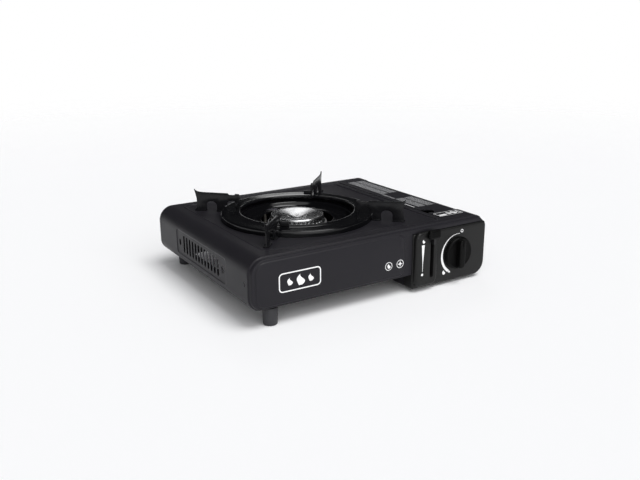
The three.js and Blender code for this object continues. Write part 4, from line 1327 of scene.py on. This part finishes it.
@dataclass(frozen=True)
class ControlPanel:
    """Moulded panel with the raised lever housing, its slot and the printed marks."""

    plan: Plan
    bottom_right: float = 17.0
    edge: float = 2.5
    housing_width: float = 34.5
    housing_rise: float = 5.0
    slot_width: float = 5.0
    slot_low: float = 17.0
    slot_high: float = 69.5
    dial: tuple[float, float] = (122.3, 38.9)
    dial_radius: float = 25.6
    dial_from: float = 84.0
    dial_to: float = 236.0
    dial_thin: float = 0.25
    dial_growth: float = 1.45

    def slot_corners(self) -> list[tuple[float, float, float]]:
        """The slot's outline in the XZ plane."""
        x = self.plan.lever[0]
        return rectangle(x - self.slot_width / 2, x + self.slot_width / 2, self.slot_low, self.slot_high, 2.2)

    def moulding(self) -> None:
        """Builds the panel's face, sides and lever housing."""
        p = self.plan
        corners = [
            (p.panel_left, p.fuel_floor, 3.0), (p.right, p.fuel_floor, self.bottom_right), (p.right, 69.0, 9.0),
            (p.right - 2.0, p.panel_top, 2.0), (p.panel_left, p.panel_top, 2.5),
        ]
        side = [(0, p.panel_back), (0, p.front + self.edge)] + quarter(self.edge, self.edge, p.front + self.edge)[1:]
        stack = rings(corners, side, upright, 10)
        slot = rings(self.slot_corners(), [(0, p.front), (0, p.front + 9)], upright, 6)
        made = Pattern().grid(stack, around=True).fill(stack[-1], slot[0]).grid(slot, around=True)
        back = [(2.0, p.front + self.edge), (2.0, p.panel_back), (0, p.panel_back)]
        made.grid(rings(corners, back, upright, 10), around=True)
        left = p.panel_left + 1
        housing = rectangle(left, left + self.housing_width, p.fuel_floor + 3, p.panel_top + 2, 8.5)
        face = p.front - self.housing_rise
        rise = [(0, p.front - 0.1), (0.1, face + 3.4)] + shifted(quarter(3.2, 3.4, face + 3.4, 8)[1:], 0.1, 0)
        tower = rings(housing, rise, upright, 12)
        lip = rings(
            self.slot_corners(), [(-0.7, face), (-0.25, face + 0.12), (0, face + 0.6), (0, p.front + 9)], upright, 6
        )
        made.grid(tower, around=True).fill(tower[-1], lip[0]).grid(lip, around=True)
        made.fill(tower[0], rings(self.slot_corners(), [(0, p.front - 0.1)], upright, 6)[0])
        made.piece("control_moulding", "casing", Finishes.plastic, ["control_panel"], "panel_plastic", sharp=38)

    def marks(self) -> None:
        """Prints the lever's wedge and dot, the knob's tapered arc, a small frame and the flame signs."""
        p = self.plan
        face, flat = p.front - self.housing_rise - FRONT_PRINT, p.front - FRONT_PRINT
        made = Pattern()
        wedge = np.array([[59.7, 60.8], [61.4, 38.0], [61.7, 26.5], [62.1, 26.5], [62.4, 38.0], [64.1, 60.8]])
        made.fill(upright(wedge, face))
        made.fill(upright(polar((61.6, 22.8), 1.7, np.arange(0, 360, 20)), face))
        made.fill(upright(flame(62.3, 62.8, 5.0), face))
        made.printed("lever_marks", "casing", (62, 0, 40))
        dial = Pattern()
        t = np.linspace(0, 1, 49)
        angle = np.radians(self.dial_from + t * (self.dial_to - self.dial_from))
        half = self.dial_thin + self.dial_growth * ease(t * 1.05)
        spoke = pairs(np.cos(angle), np.sin(angle))
        arms = [self.dial + (self.dial_radius + s * half)[:, None] * spoke for s in (-1, 1)]
        dial.grid(np.stack([upright(a, flat) for a in arms]))
        dial.patch(rectangle(126.0, 130.4, 65.0, 69.4, 2.19), upright, flat, width=0.8)
        dial.fill(upright(flame(100.6, 13.8, 6.2), flat))
        dial.fill(upright(flame(109.6, 14.6, 4.2), flat))
        dial.printed("dial_marks", "casing", (110, 0, 40))

    def build(self) -> None:
        """Builds the panel and its printing."""
        self.moulding()
        self.marks()


@dataclass(frozen=True)
class Knob:
    """Gas knob: a dished skirt with an upright finger grip."""

    plan: Plan
    radius: float = 21.0
    skirt: float = 4.0
    grip_width: float = 10.2
    grip_length: float = 38.0

    def build(self) -> None:
        """Builds the knob."""
        p = self.plan
        x, z = p.knob
        _, tip, _, _, back, _ = in_mm(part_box("control_knob"))
        face = back - self.skirt
        r = self.radius
        flank = shifted([(-0.6, 0), (0, -0.5), (-0.3, -2.0)], r, back)
        dish = shifted([(-0.9, 0.7), (-1.4, 0.2), (-2.2, 0), (-3.2, 0.1), (-4.0, 0.5), (-6, 0.7)], r, face)
        skirt = [(0.01, back), *flank, *dish, (0.01, face + 0.7)]
        made = Pattern().lathe(skirt, (x, z), axis="y")
        half, long = self.grip_width / 2, self.grip_length / 2
        grip = rectangle(x - half, x + half, z - long, z + long, 4.4)
        rows = shifted([(0, 1.5), (0.15, -0.8), (0.4, -2.4)], 0, face)
        rows += [(0.6, tip + 1.6)] + shifted(quarter(1.5, 1.6, tip + 1.6, 5)[1:], 0.6, 0)
        made.solid(grip, rows, upright, 8)
        # Painted shade: the knob wears the darker grip plastic for the shade that falls on its grip.
        made.piece("gas_knob", "knob", Finishes.shaded_grip_plastic, ["control_knob"], "panel_plastic", sharp=35)
        notch = Pattern().solid(
            rectangle(x - 0.55, x + 0.55, z + 9, z + 16.6, 0.5), [(0, tip + 0.5), (0, tip)], upright, 3
        )
        notch.piece("knob_pointer", "knob", Finishes.plastic, slot="panel_plastic")


@dataclass(frozen=True)
class Lever:
    """Thumb tab of the canister lock lever."""

    plan: Plan
    ridge_pitch: float = 2.6

    def build(self) -> None:
        """Builds the tab with three raised ribs across its front."""
        x0, y0, z0, x1, y1, z1 = in_mm(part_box("lever_tab"))
        corners = rectangle(x0, x1, z0, z1, 3.0)
        rows = [(0.6, y1), (0, y1 - 0.6), (0, y0 + 1.6)] + quarter(1.6, 1.6, y0 + 1.6, 5)[1:]
        made = Pattern().solid(corners, rows, upright)
        # Painted shade: the tab wears the darker grip plastic for the shade that falls on it.
        made.piece("lever_thumb_tab", "lever", Finishes.shaded_grip_plastic, ["lever_tab"], "panel_plastic", sharp=35)
        ribs = Pattern()
        for k in range(3):
            z = z0 + 3.6 + self.ridge_pitch * k
            ribs.solid(
                rectangle(x0 + 3, x1 - 3, z - 0.5, z + 0.5, 0.45), [(0, y0 + 0.4), (0, y0 + 0.05), (0.2, y0)],
                upright, 3,
            )
        ribs.piece("lever_tab_ribs", "lever", Finishes.shaded_grip_plastic, slot="panel_plastic")


# ---------------------------------------------------------------- burner and pan support


@dataclass(frozen=True)
class Burner:
    """Pressed steel burner head over its cup, with the enamelled drip bowl and the spark electrode."""

    plan: Plan
    top: float = 84.0
    base: float = 74.3
    radius: float = 34.0
    ports: int = 40
    port_depth: float = 1.1
    port_share: tuple[float, float] = (0.2, 0.12)
    port_rows: tuple[int, ...] = (4, 5, 6)
    marks: int = 9
    mark_depth: float = 0.12
    mark_share: tuple[float, float] = (0.24, 0.1)
    mark_rows: tuple[int, ...] = (24, 25, 26)
    bowl_floor: float = 76.0

    @staticmethod
    def repeated(turn: np.ndarray, count: int, half: float, soft: float) -> np.ndarray:
        """A soft mark repeated evenly round a turn: ease((half - w) / soft), w being the share from its middle."""
        return ease((half - np.abs((turn * count / (2 * math.pi)) % 1.0 - 0.5)) / soft)

    def head(self) -> None:
        """Builds the head: a turned dish whose flank is pressed in at each flame port.

        The flank's radius drops by the port depth times repeated() at each port, and shallow marks are
        sunk into the dish by the same rule.
        """
        p = self.plan
        r, z = self.radius, self.top
        flank = [(2.2, 0), (2.2, 0.7), (1.5, 1.2), (1.1, 1.8), (0.9, 2.4), (0.6, 4.2), (0.4, 6.2), (0.3, 6.8)]
        rim = [
            (0, -1.2), (-0.25, -0.5), (-0.7, -0.1), (-1.2, 0), (-1.8, -0.1), (-2.4, -0.5), (-3.0, -0.7), (-3.8, -0.8),
            (-4.6, -1.0),
        ]
        dish = [
            (-6.0, -1.3), (-8.0, -1.75), (-10.0, -2.2), (-12.0, -2.65), (-14.0, -3.1), (-16.5, -3.65), (-18.5, -4.05),
            (-19.7, -4.3), (-21.5, -4.65), (-23.5, -5.05), (-24.7, -5.25),
        ]
        middle = [(6.5, -5.75), (3.5, -6.2), (0.01, -6.4)]
        rows = shifted(flank, r, self.base) + shifted(rim + dish, r, z) + shifted(middle, 0, z)
        sides = self.ports * 8
        grid = turned(rows, p.burner, sides)
        turn = np.linspace(0, 2 * math.pi, sides, endpoint=False)
        number = np.arange(len(rows))[:, None]
        deep = self.repeated(turn, self.ports, *self.port_share) * np.isin(number, self.port_rows)
        sunk = self.repeated(turn, self.marks, *self.mark_share) * np.isin(number, self.mark_rows)
        spoke = (grid - (*p.burner, 0.0)) * (1, 1, 0)
        grid = grid - unit(spoke) * (self.port_depth * deep)[..., None]
        grid[..., 2] -= self.mark_depth * sunk
        under = [(r + 2.2, self.base), (r + 1.0, self.base), (r - 1.0, z - 3.2), (r - 8, z - 7.0), (0.01, z - 8.2)]
        made = Pattern().grid(grid, around=True).lathe(under, p.burner, sides)
        # Polished stainless steel: a bright mirror softened by fine buffing rings about half a millimetre apart.
        polish = SpunFinish(
            "polished_stainless_steel", "#e2e2e3", "#d6d6d8", 0.23, 0.04, 1.0, grain_height_mm=0.003, drift_mm=12,
            centre_mm=p.burner, ring_mm=0.6,
        )
        made.piece("burner_cap", "casing", polish, ["burner_head"], sharp=38)

    def bowl(self) -> None:
        """Builds the drip bowl: rolled flange, steep wall, floor with a stiffening ring and raised inner lip."""
        lip = [(46.0, 1.6), (46.3, 2.0), (46.9, 2.1), (47.4, 1.8), (47.8, 1.0), (48.4, 0.35), (49.2, 0.05)]
        floor = [(52, 0), (55.2, 0), (56.0, 0.25), (57.0, 0.6), (58.0, 0.25), (58.8, 0), (62.5, 0)]
        wall = [(64.0, 0.3), (65.3, 1.0), (66.4, 2.2), (67.3, 3.8), (68.0, 5.2), (68.6, 5.9)]
        flange = [(69.4, 6.2), (71.0, 6.3), (72.4, 6.3), (73.0, 5.9), (72.8, 5.3), (71.4, 5.15), (69.6, 5.05)]
        under = [
            (69.0, 4.6), (68.4, 3.4), (67.2, 1.4), (65.9, -0.2), (64.2, -1.0), (62, -1.1), (49, -1.1), (47.6, -0.8),
            (46.6, 0.2), (46.0, 1.6),
        ]
        rows = shifted(lip + floor + wall + flange + under, 0, self.bowl_floor)
        Pattern().lathe(rows, self.plan.burner, 144).piece(
            "drip_pan", "casing", Finishes.enamel, ["drip_bowl"], "enamel", sharp=45
        )

    def electrode(self) -> None:
        """Builds the electrode's glazed insulator with its four ribs."""
        x, y, r, bottom, top = post("igniter_electrode")
        rows = [(0.01, bottom), (r * 0.7, bottom), (r * 0.75, bottom + 2)]
        for k in range(4):
            z = bottom + 3 + 3.2 * k
            rows += [(r * 0.75, z), (r, z + 0.7), (r, z + 1.3), (r * 0.75, z + 2.0)]
        rows += [(r * 0.75, top - 4), (r * 0.62, top - 2), (r * 0.5, top - 0.4), (0.01, top)]
        Pattern().lathe(rows, (x, y), 24).piece(
            "electrode_insulator", "casing", Finishes.ceramic, ["igniter_electrode"], "ceramic", sharp=50
        )

    def build(self) -> None:
        """Builds the burner's pieces."""
        self.head()
        self.bowl()
        self.electrode()


@dataclass(frozen=True)
class PanSupport:
    """Enamelled pan support that lifts off: an annular pressing with four upright arms."""

    plan: Plan
    base: float = 81.1
    lip: float = 90.0
    plate: float = 89.2
    inner: float = 72.6
    outer: float = 97.0
    arm_top: float = 105.7
    reach: float = 139.5
    thickness: float = 1.6
    clip_at: tuple[float, float] = (77.7, 79.3)
    feet_at: tuple[tuple[float, float], ...] = ((98.0, 108.5), (123.0, 138.5))

    def ring(self) -> None:
        """Builds the ring: rolled inner lip, flat plate with one shallow step and a turned-down rim."""
        r0, r1, lip, flat = self.inner, self.outer, self.lip, self.plate
        low = flat - 0.45
        rows = shifted([(0, -3.5), (0, -0.9), (0.25, -0.3), (0.8, 0), (1.5, 0), (2.1, -0.2)], r0, lip)
        rows += shifted([(2.8, 0.15), (3.6, 0), (6.4, 0), (7.2, -0.1)], r0, flat)
        rows += [(r0 + 8.2, low + 0.08), (r0 + 9.2, low), ((r0 + r1) / 2 + 3, low)]
        rows += shifted([(-3.0, 0), (-2.4, -0.02), (-1.5, -0.16), (-0.7, -0.5), (-0.2, -1.1), (0, -1.9)], r1, low)
        rows += shifted([(0, 1.5), (0.15, 0.4), (0.1, 0), (-1.0, 0), (-1.2, 0.5)], r1, self.base)
        rows += [(r1 - 1.2, low - 1.6), (r1 - 2.4, low - 1.2), (r0 + 9.0, low - 1.2), (r0 + 3.6, flat - 1.2)]
        rows += shifted([(1.2, -1.8), (1.2, -3.5), (0, -3.5)], r0, lip)
        Pattern().lathe(rows, self.plan.burner, 160).piece(
            "support_ring", "pan_support", Finishes.enamel, ["pan_support_ring"], "enamel", sharp=50
        )

    def opening(self, middle: float, half: float, foot: float, rise: float) -> np.ndarray:
        """Half an ellipse over an opening: middle + half cos t, base + foot + rise sin t, t from 180 to 0 degrees."""
        turn = np.radians(np.linspace(180, 0, 17))
        return pairs(middle + half * np.cos(turn), self.base + foot + rise * np.sin(turn))

    def arm_outline(self) -> np.ndarray:
        """The arm's outline in the plane (distance from the burner, height), counter-clockwise.

        Each opening is closed by half an ellipse, and the outer edge bows inwards below the nib
        by 2.4 sin(pi t^0.8) at height t.

        Returns:
            Points of shape (n, 2).
        """
        b, top, reach, shelf = self.base, self.arm_top, self.reach, self.plate + 0.3
        bridge = self.opening(middle=87.0, half=7.5, foot=10.4, rise=4.5)
        arch = self.opening(middle=115.75, half=7.25, foot=7.5, rise=5.5)
        t = np.linspace(0, 1, 14)
        edge = pairs(reach - 1.0 + t**3 - 2.4 * np.sin(math.pi * t**0.8), b + (top + 3.9 - b) * t)
        nib = shifted(
            [(-0.3, 3.8), (-1.0, 3.0), (-2.2, 1.9), (-4, 1.0), (-7, 0.35), (-12, 0.05), (-18, 0)], reach, top
        )
        dip = [
            (93.6, 0), (92.8, -0.4), (91.8, -1.6), (91.0, -2.0), (84.4, -2.0), (83.8, -1.7), (83.1, -0.6),
            (82.6, -0.4),
        ]
        end = [(78.7, -0.4), (77.4, -0.9), (76.6, -2.6)]
        step = [(94.5, shelf), (98.0, shelf), (98.0, b), (108.5, b)]
        parts = [
            [(76.5, shelf), (79.5, shelf)], bridge, step, arch, [(123.0, b)], edge, nib, shifted(dip + end, 0, top)
        ]
        return np.concatenate([np.asarray(q, float) for q in parts])

    def arm(self, place: str, angle: float) -> None:
        """Builds one arm with its two spread feet and its clip.

        Args:
            place: the arm's place in the name of its CAD node.
            angle: degrees round the burner.
        """
        half = self.thickness / 2
        line = self.arm_outline()
        made = Pattern()
        sides = [upright(line, s) for s in (-half, half)]
        made.grid(np.stack(sides), around=True).fill(sides[0]).fill(sides[1])
        b = self.base
        for start, end in self.feet_at:
            made.solid(rectangle(start, end, -3.5, 3.5, 1.2), [(0, b), (0, b + 1.2)], level, 4)
        clip = rectangle(-half, 11.0, self.plate + 0.3, self.plate + 5.8, 1.4)
        flat = outline(clip, 0, 5)
        stack = [np.insert(flat, 0, along, axis=1) for along in self.clip_at]
        made.grid(np.stack(stack), around=True).fill(stack[0]).fill(stack[1])
        turn = Matrix.Translation((*self.plan.burner, 0)) @ Matrix.Rotation(math.radians(angle), 4, "Z")
        # Painted light: the arms wear the lighter, lit copy of the ring's enamel.
        made.piece(
            f"support_arm_{place}", "pan_support", Finishes.lit_arm_enamel, [f"pan_arm_{place}"], "enamel", bevel=0.35,
            transform=turn,
        )

    def build(self) -> None:
        """Builds the ring and its four arms."""
        self.ring()
        for place, angle in {"front_left": 225, "front_right": 315, "rear_right": 45, "rear_left": 135}.items():
            self.arm(place, angle)


@dataclass(frozen=True)
class Feet:
    """Two tall feet under the burner box and two pads under the fuel tray."""

    chamfer: float = 1.1

    def foot(self, place: str) -> None:
        """Builds one foot on its CAD node's box: a slightly tapered post with a rounded sole and a screw recess.

        Args:
            place: the foot's place in the name of its CAD node.
        """
        x, y, r, _, top = post(f"foot_{place}")
        c, sole = min(self.chamfer, top / 4), r - 0.7
        web = max(top - 1.5, 1.6)
        rows = [
            (2.1, web), (4.0, web), (4.0, 0.25), (4.3, 0.0), (sole - c, 0.0), (sole - 0.4 * c, 0.15 * c), (sole, c),
            (r - 0.25, top - 0.5), (r - 0.5, top), (2.1, top), (2.1, web),
        ]
        Pattern().lathe(rows, (x, y), 48).piece(
            f"{place}_foot", "casing", Finishes.foot_rubber, [f"foot_{place}"], "rubber", sharp=40
        )

    def build(self) -> None:
        """Builds all four feet."""
        for place in ("front_left", "rear_left", "front_right", "rear_right"):
            self.foot(place)


@dataclass(frozen=True)
class FrontBadges:
    """Generic printed signs on the front panel, which carries no name."""

    plan: Plan
    border: tuple[float, float, float, float, float] = (-135.0, -81.0, 38.5, 61.0, 5.0)
    border_width: float = 1.4
    flames: tuple[tuple[float, float], ...] = ((-121.5, 9.0), (-108.0, 13.5), (-94.5, 9.0))
    flames_middle: float = 49.8
    signs_x: tuple[float, float] = (14.0, 31.0)
    signs_z: float = 41.5
    circle_radii: tuple[float, float] = (5.2, 4.5)
    star_radii: tuple[float, float] = (3.9, 1.3)

    def build(self) -> None:
        """Prints a frame with three flames at the left and two small round signs at the right."""
        y = self.plan.front - FRONT_PRINT
        made = Pattern()
        made.patch(rectangle(*self.border), upright, y, width=self.border_width)
        for x, size in self.flames:
            made.fill(upright(flame(x, self.flames_middle - size / 2, size), y))
        left, right = self.signs_x
        reach = np.where(np.arange(8) % 2 == 0, *self.star_radii)[:, None]
        star = (right, self.signs_z) + reach * polar((0, 0), 1.0, np.arange(0, 360, 45))
        for x, sign in ((left, flame(left, self.signs_z - 3.1, 6.2)), (right, star)):
            circles = (polar((x, self.signs_z), radius, np.arange(0, 360, 12)) for radius in self.circle_radii)
            made.fill(*(upright(circle, y) for circle in circles))
            made.fill(upright(sign, y))
        made.printed("front_signs", "casing", (-50, 0, 45))


class Carried(Enum):
    """CAD nodes that keep their shape, grouped by the finish that they get."""

    # Painted shade: the base plate and the lock lever wear the darker inner coat.
    SHADED_INNER_COAT = (Finishes.shaded_inner_coat, "base_plate lock_lever")
    ZINC = (
        Finishes.zinc,
        "partition regulator_plate regulator_cap mixing_tube air_shutter canister_pusher cradle_front cradle_rear "
        "burner_bracket electrode_bracket foot_screw_front_left foot_screw_rear_left foot_screw_front_right "
        "foot_screw_rear_right tray_screw_front tray_screw_rear",
    )
    BRASS = (Finishes.brass, "valve_shaft canister_inlet gas_jet")
    CAST = (Finishes.cast_aluminium, "regulator_body burner_cup")
    # Painted shade: the piezo igniter wears the darker grip plastic as well.
    PLASTIC = (Finishes.shaded_grip_plastic, "piezo_igniter")
    WIRE = (Finishes.wire_steel, "hinge_pin_front hinge_pin_rear spark_wire")
    SILICONE = (Finishes.silicone, "igniter_lead")

    def dress(self) -> None:
        """Puts the finish on each node of the group."""
        finish, names = self.value
        for name in names.split():
            paint(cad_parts[name].data, finish)


# ---------------------------------------------------------------- studio


@dataclass(frozen=True)
class Studio:
    """Pale floor, soft lights and the camera, which looks at a point given from the casing's middle."""

    plan: Plan
    floor_colour: str = "#fbfbfc"
    floor_radius: float = 2.6
    floor_drop: float = 0.0002
    fade_from: float = 0.7
    fade_to: float = 2.3
    ground_edge: tuple[float, float] = (0.0, 0.05)
    card_top: tuple[float, float] = (0.244, 0.256)
    card_left: tuple[float, float] = (0.462, 0.474)
    card_right: tuple[float, float] = (0.543, 0.556)
    target_mm: tuple[float, float, float] = (-12.9, -24.8, 50.0)
    distance_mm: float = 954.4
    azimuth: float = -31.93
    elevation: float = 17.33
    roll: float = -0.37
    lens: float = 41.68
    lamps: tuple[tuple[str, float, float, float, float], ...] = (
        ("key", 1.65, 34, 26, 68), ("fill", 1.95, 80, -12, 31), ("back", 0.1, 16, 150, 41)
    )

    def floor(self) -> None:
        """Lays a round pale floor that fades into the white surround at its border."""
        sides = 96
        turn = np.linspace(0, 2 * math.pi, sides, endpoint=False)
        radii = np.array([[0.001], [0.4], [0.9], [1.5], [2.1], [self.floor_radius]])
        grid = level(pairs(radii * np.cos(turn), radii * np.sin(turn)), -self.floor_drop)
        cells = quads(len(radii), sides, around=True).reshape(-1, 4)
        mesh = bpy.data.meshes.new("floor")
        mesh.from_pydata(grid.reshape(-1, 3).tolist(), [], cells.tolist())
        obj = show("floor", mesh)
        made, tree = new_material("painted_floor")
        place = add_node(tree, "ShaderNodeTexCoord").outputs["Object"]
        far = add_node(tree, "ShaderNodeVectorMath", {0: place}, operation="LENGTH")
        fade = add_node(
            tree, "ShaderNodeMapRange",
            {"Value": far.outputs["Value"], "From Min": self.fade_from, "From Max": self.fade_to},
            interpolation_type="SMOOTHSTEP",
        )
        matt = add_node(tree, "ShaderNodeBsdfDiffuse", {"Color": linear(self.floor_colour)})
        clear = add_node(tree, "ShaderNodeBsdfTransparent")
        mixed = add_node(
            tree, "ShaderNodeMixShader", {0: fade.outputs["Result"], 1: matt.outputs[0], 2: clear.outputs[0]}
        )
        add_node(tree, "ShaderNodeOutputMaterial", {"Surface": mixed.outputs[0]})
        mesh.materials.append(made)

    def surround(self) -> None:
        """Sets the world: dim for soft light, white to the eye, and in mirrors white at the ground and one card."""
        world = bpy.data.worlds.new("studio")
        bpy.context.scene.world = world
        world.use_nodes = True
        tree = world.node_tree
        tree.nodes.clear()
        rays = add_node(tree, "ShaderNodeLightPath")
        where = add_node(tree, "ShaderNodeTexCoord").outputs["Generated"]
        axes = add_node(tree, "ShaderNodeSeparateXYZ", {"Vector": where}).outputs
        facing = add_node(tree, "ShaderNodeMath", {0: axes["X"], 1: axes["Y"]}, operation="ARCTAN2").outputs[0]
        ground, card, left, right = (
            add_node(
                tree, "ShaderNodeMapRange",
                {"Value": value, "From Min": edge[0], "From Max": edge[1], "To Min": start, "To Max": 1 - start},
                interpolation_type="SMOOTHSTEP",
            ).outputs["Result"]
            for value, edge, start in (
                (axes["Z"], self.ground_edge, 1.0), (axes["Z"], self.card_top, 1.0),
                (facing, self.card_left, 0.0), (facing, self.card_right, 1.0),
            )
        )
        for side in (left, right):
            card = add_node(tree, "ShaderNodeMath", {0: card, 1: side}, operation="MULTIPLY").outputs[0]
        pale, mirror = (
            add_node(tree, "ShaderNodeMath", {0: first, 1: second}, operation="MAXIMUM").outputs[0]
            for first, second in (
                (ground, card), (rays.outputs["Is Glossy Ray"], rays.outputs["Is Transmission Ray"])
            )
        )
        soft, dark, white = (
            add_node(tree, "ShaderNodeBackground", {"Color": linear(colour), "Strength": strength}).outputs[0]
            for colour, strength in (("#f2f4f7", 0.18), ("#eef1f6", 0.02), ("#ffffff", 1.0))
        )
        mirrored = add_node(tree, "ShaderNodeMixShader", {0: pale, 1: dark, 2: white})
        lit = add_node(tree, "ShaderNodeMixShader", {0: mirror, 1: soft, 2: mirrored.outputs[0]})
        mixed = add_node(
            tree, "ShaderNodeMixShader", {0: rays.outputs["Is Camera Ray"], 1: lit.outputs[0], 2: white}
        )
        add_node(tree, "ShaderNodeOutputWorld", {"Surface": mixed.outputs[0]})

    @staticmethod
    def towards(azimuth: float, elevation: float) -> Vector:
        """Turns two angles to a direction.

        Args:
            azimuth: degrees, 0 in front and 90 at the right.
            elevation: degrees above the floor.

        Returns:
            A vector of length 1 from the stove.
        """
        a, e = math.radians(azimuth), math.radians(elevation)
        return Vector((math.sin(a) * math.cos(e), -math.cos(a) * math.cos(e), math.sin(e)))

    def lamp(self, name: str, strength: float, spread: float, azimuth: float, elevation: float) -> None:
        """Adds a very broad soft light.

        Args:
            name: the lamp's name.
            strength: its strength, pi being a full white on a floor that faces it.
            spread: its apparent width in degrees.
            azimuth: where it stands, 0 in front and 90 at the right.
            elevation: its height in degrees.
        """
        data = bpy.data.lights.new(name, "SUN")
        data.energy, data.angle = strength, math.radians(spread)
        obj = show(name, data)
        back = self.towards(azimuth, elevation)
        obj.location = back * 2.0
        obj.rotation_euler = back.to_track_quat("Z", "Y").to_euler()

    def camera(self) -> None:
        """Places the camera on its azimuth and elevation round the target, with its small roll."""
        r = math.radians(self.roll)
        back = self.towards(self.azimuth, self.elevation)
        right = Vector((0, 0, 1)).cross(back).normalized()
        up = back.cross(right)
        right, up = right * math.cos(r) + up * math.sin(r), up * math.cos(r) - right * math.sin(r)
        data = bpy.data.cameras.new("camera")
        data.lens, data.sensor_width, data.clip_start, data.clip_end = self.lens, 36.0, 0.02, 40.0
        obj = show("camera", data)
        place = (Vector(self.target_mm) + Vector((0, self.plan.middle, 0)) + back * self.distance_mm) * MM
        turn = Matrix((right, up, back)).transposed().to_4x4()
        obj.matrix_world = Matrix.Translation(place) @ turn
        bpy.context.scene.camera = obj

    def build(self) -> None:
        """Builds the floor, the surround, the lamps and the camera."""
        self.floor()
        self.surround()
        for lamp in self.lamps:
            self.lamp(*lamp)
        self.camera()
        bpy.context.scene.view_settings.view_transform = "Standard"


def main() -> None:
    """Builds the stove and its studio."""
    logging.basicConfig(level=logging.INFO, format="%(message)s")
    plan = Plan.read()
    casing = Casing(plan)
    casing.build()
    FuelLid(plan, casing).build()
    ControlPanel(plan).build()
    Knob(plan).build()
    Lever(plan).build()
    Burner(plan).build()
    PanSupport(plan).build()
    Feet().build()
    FrontBadges(plan).build()
    for group in Carried:
        group.dress()
    Studio(plan).build()
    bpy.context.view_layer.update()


if __name__ == "__main__":
    main()
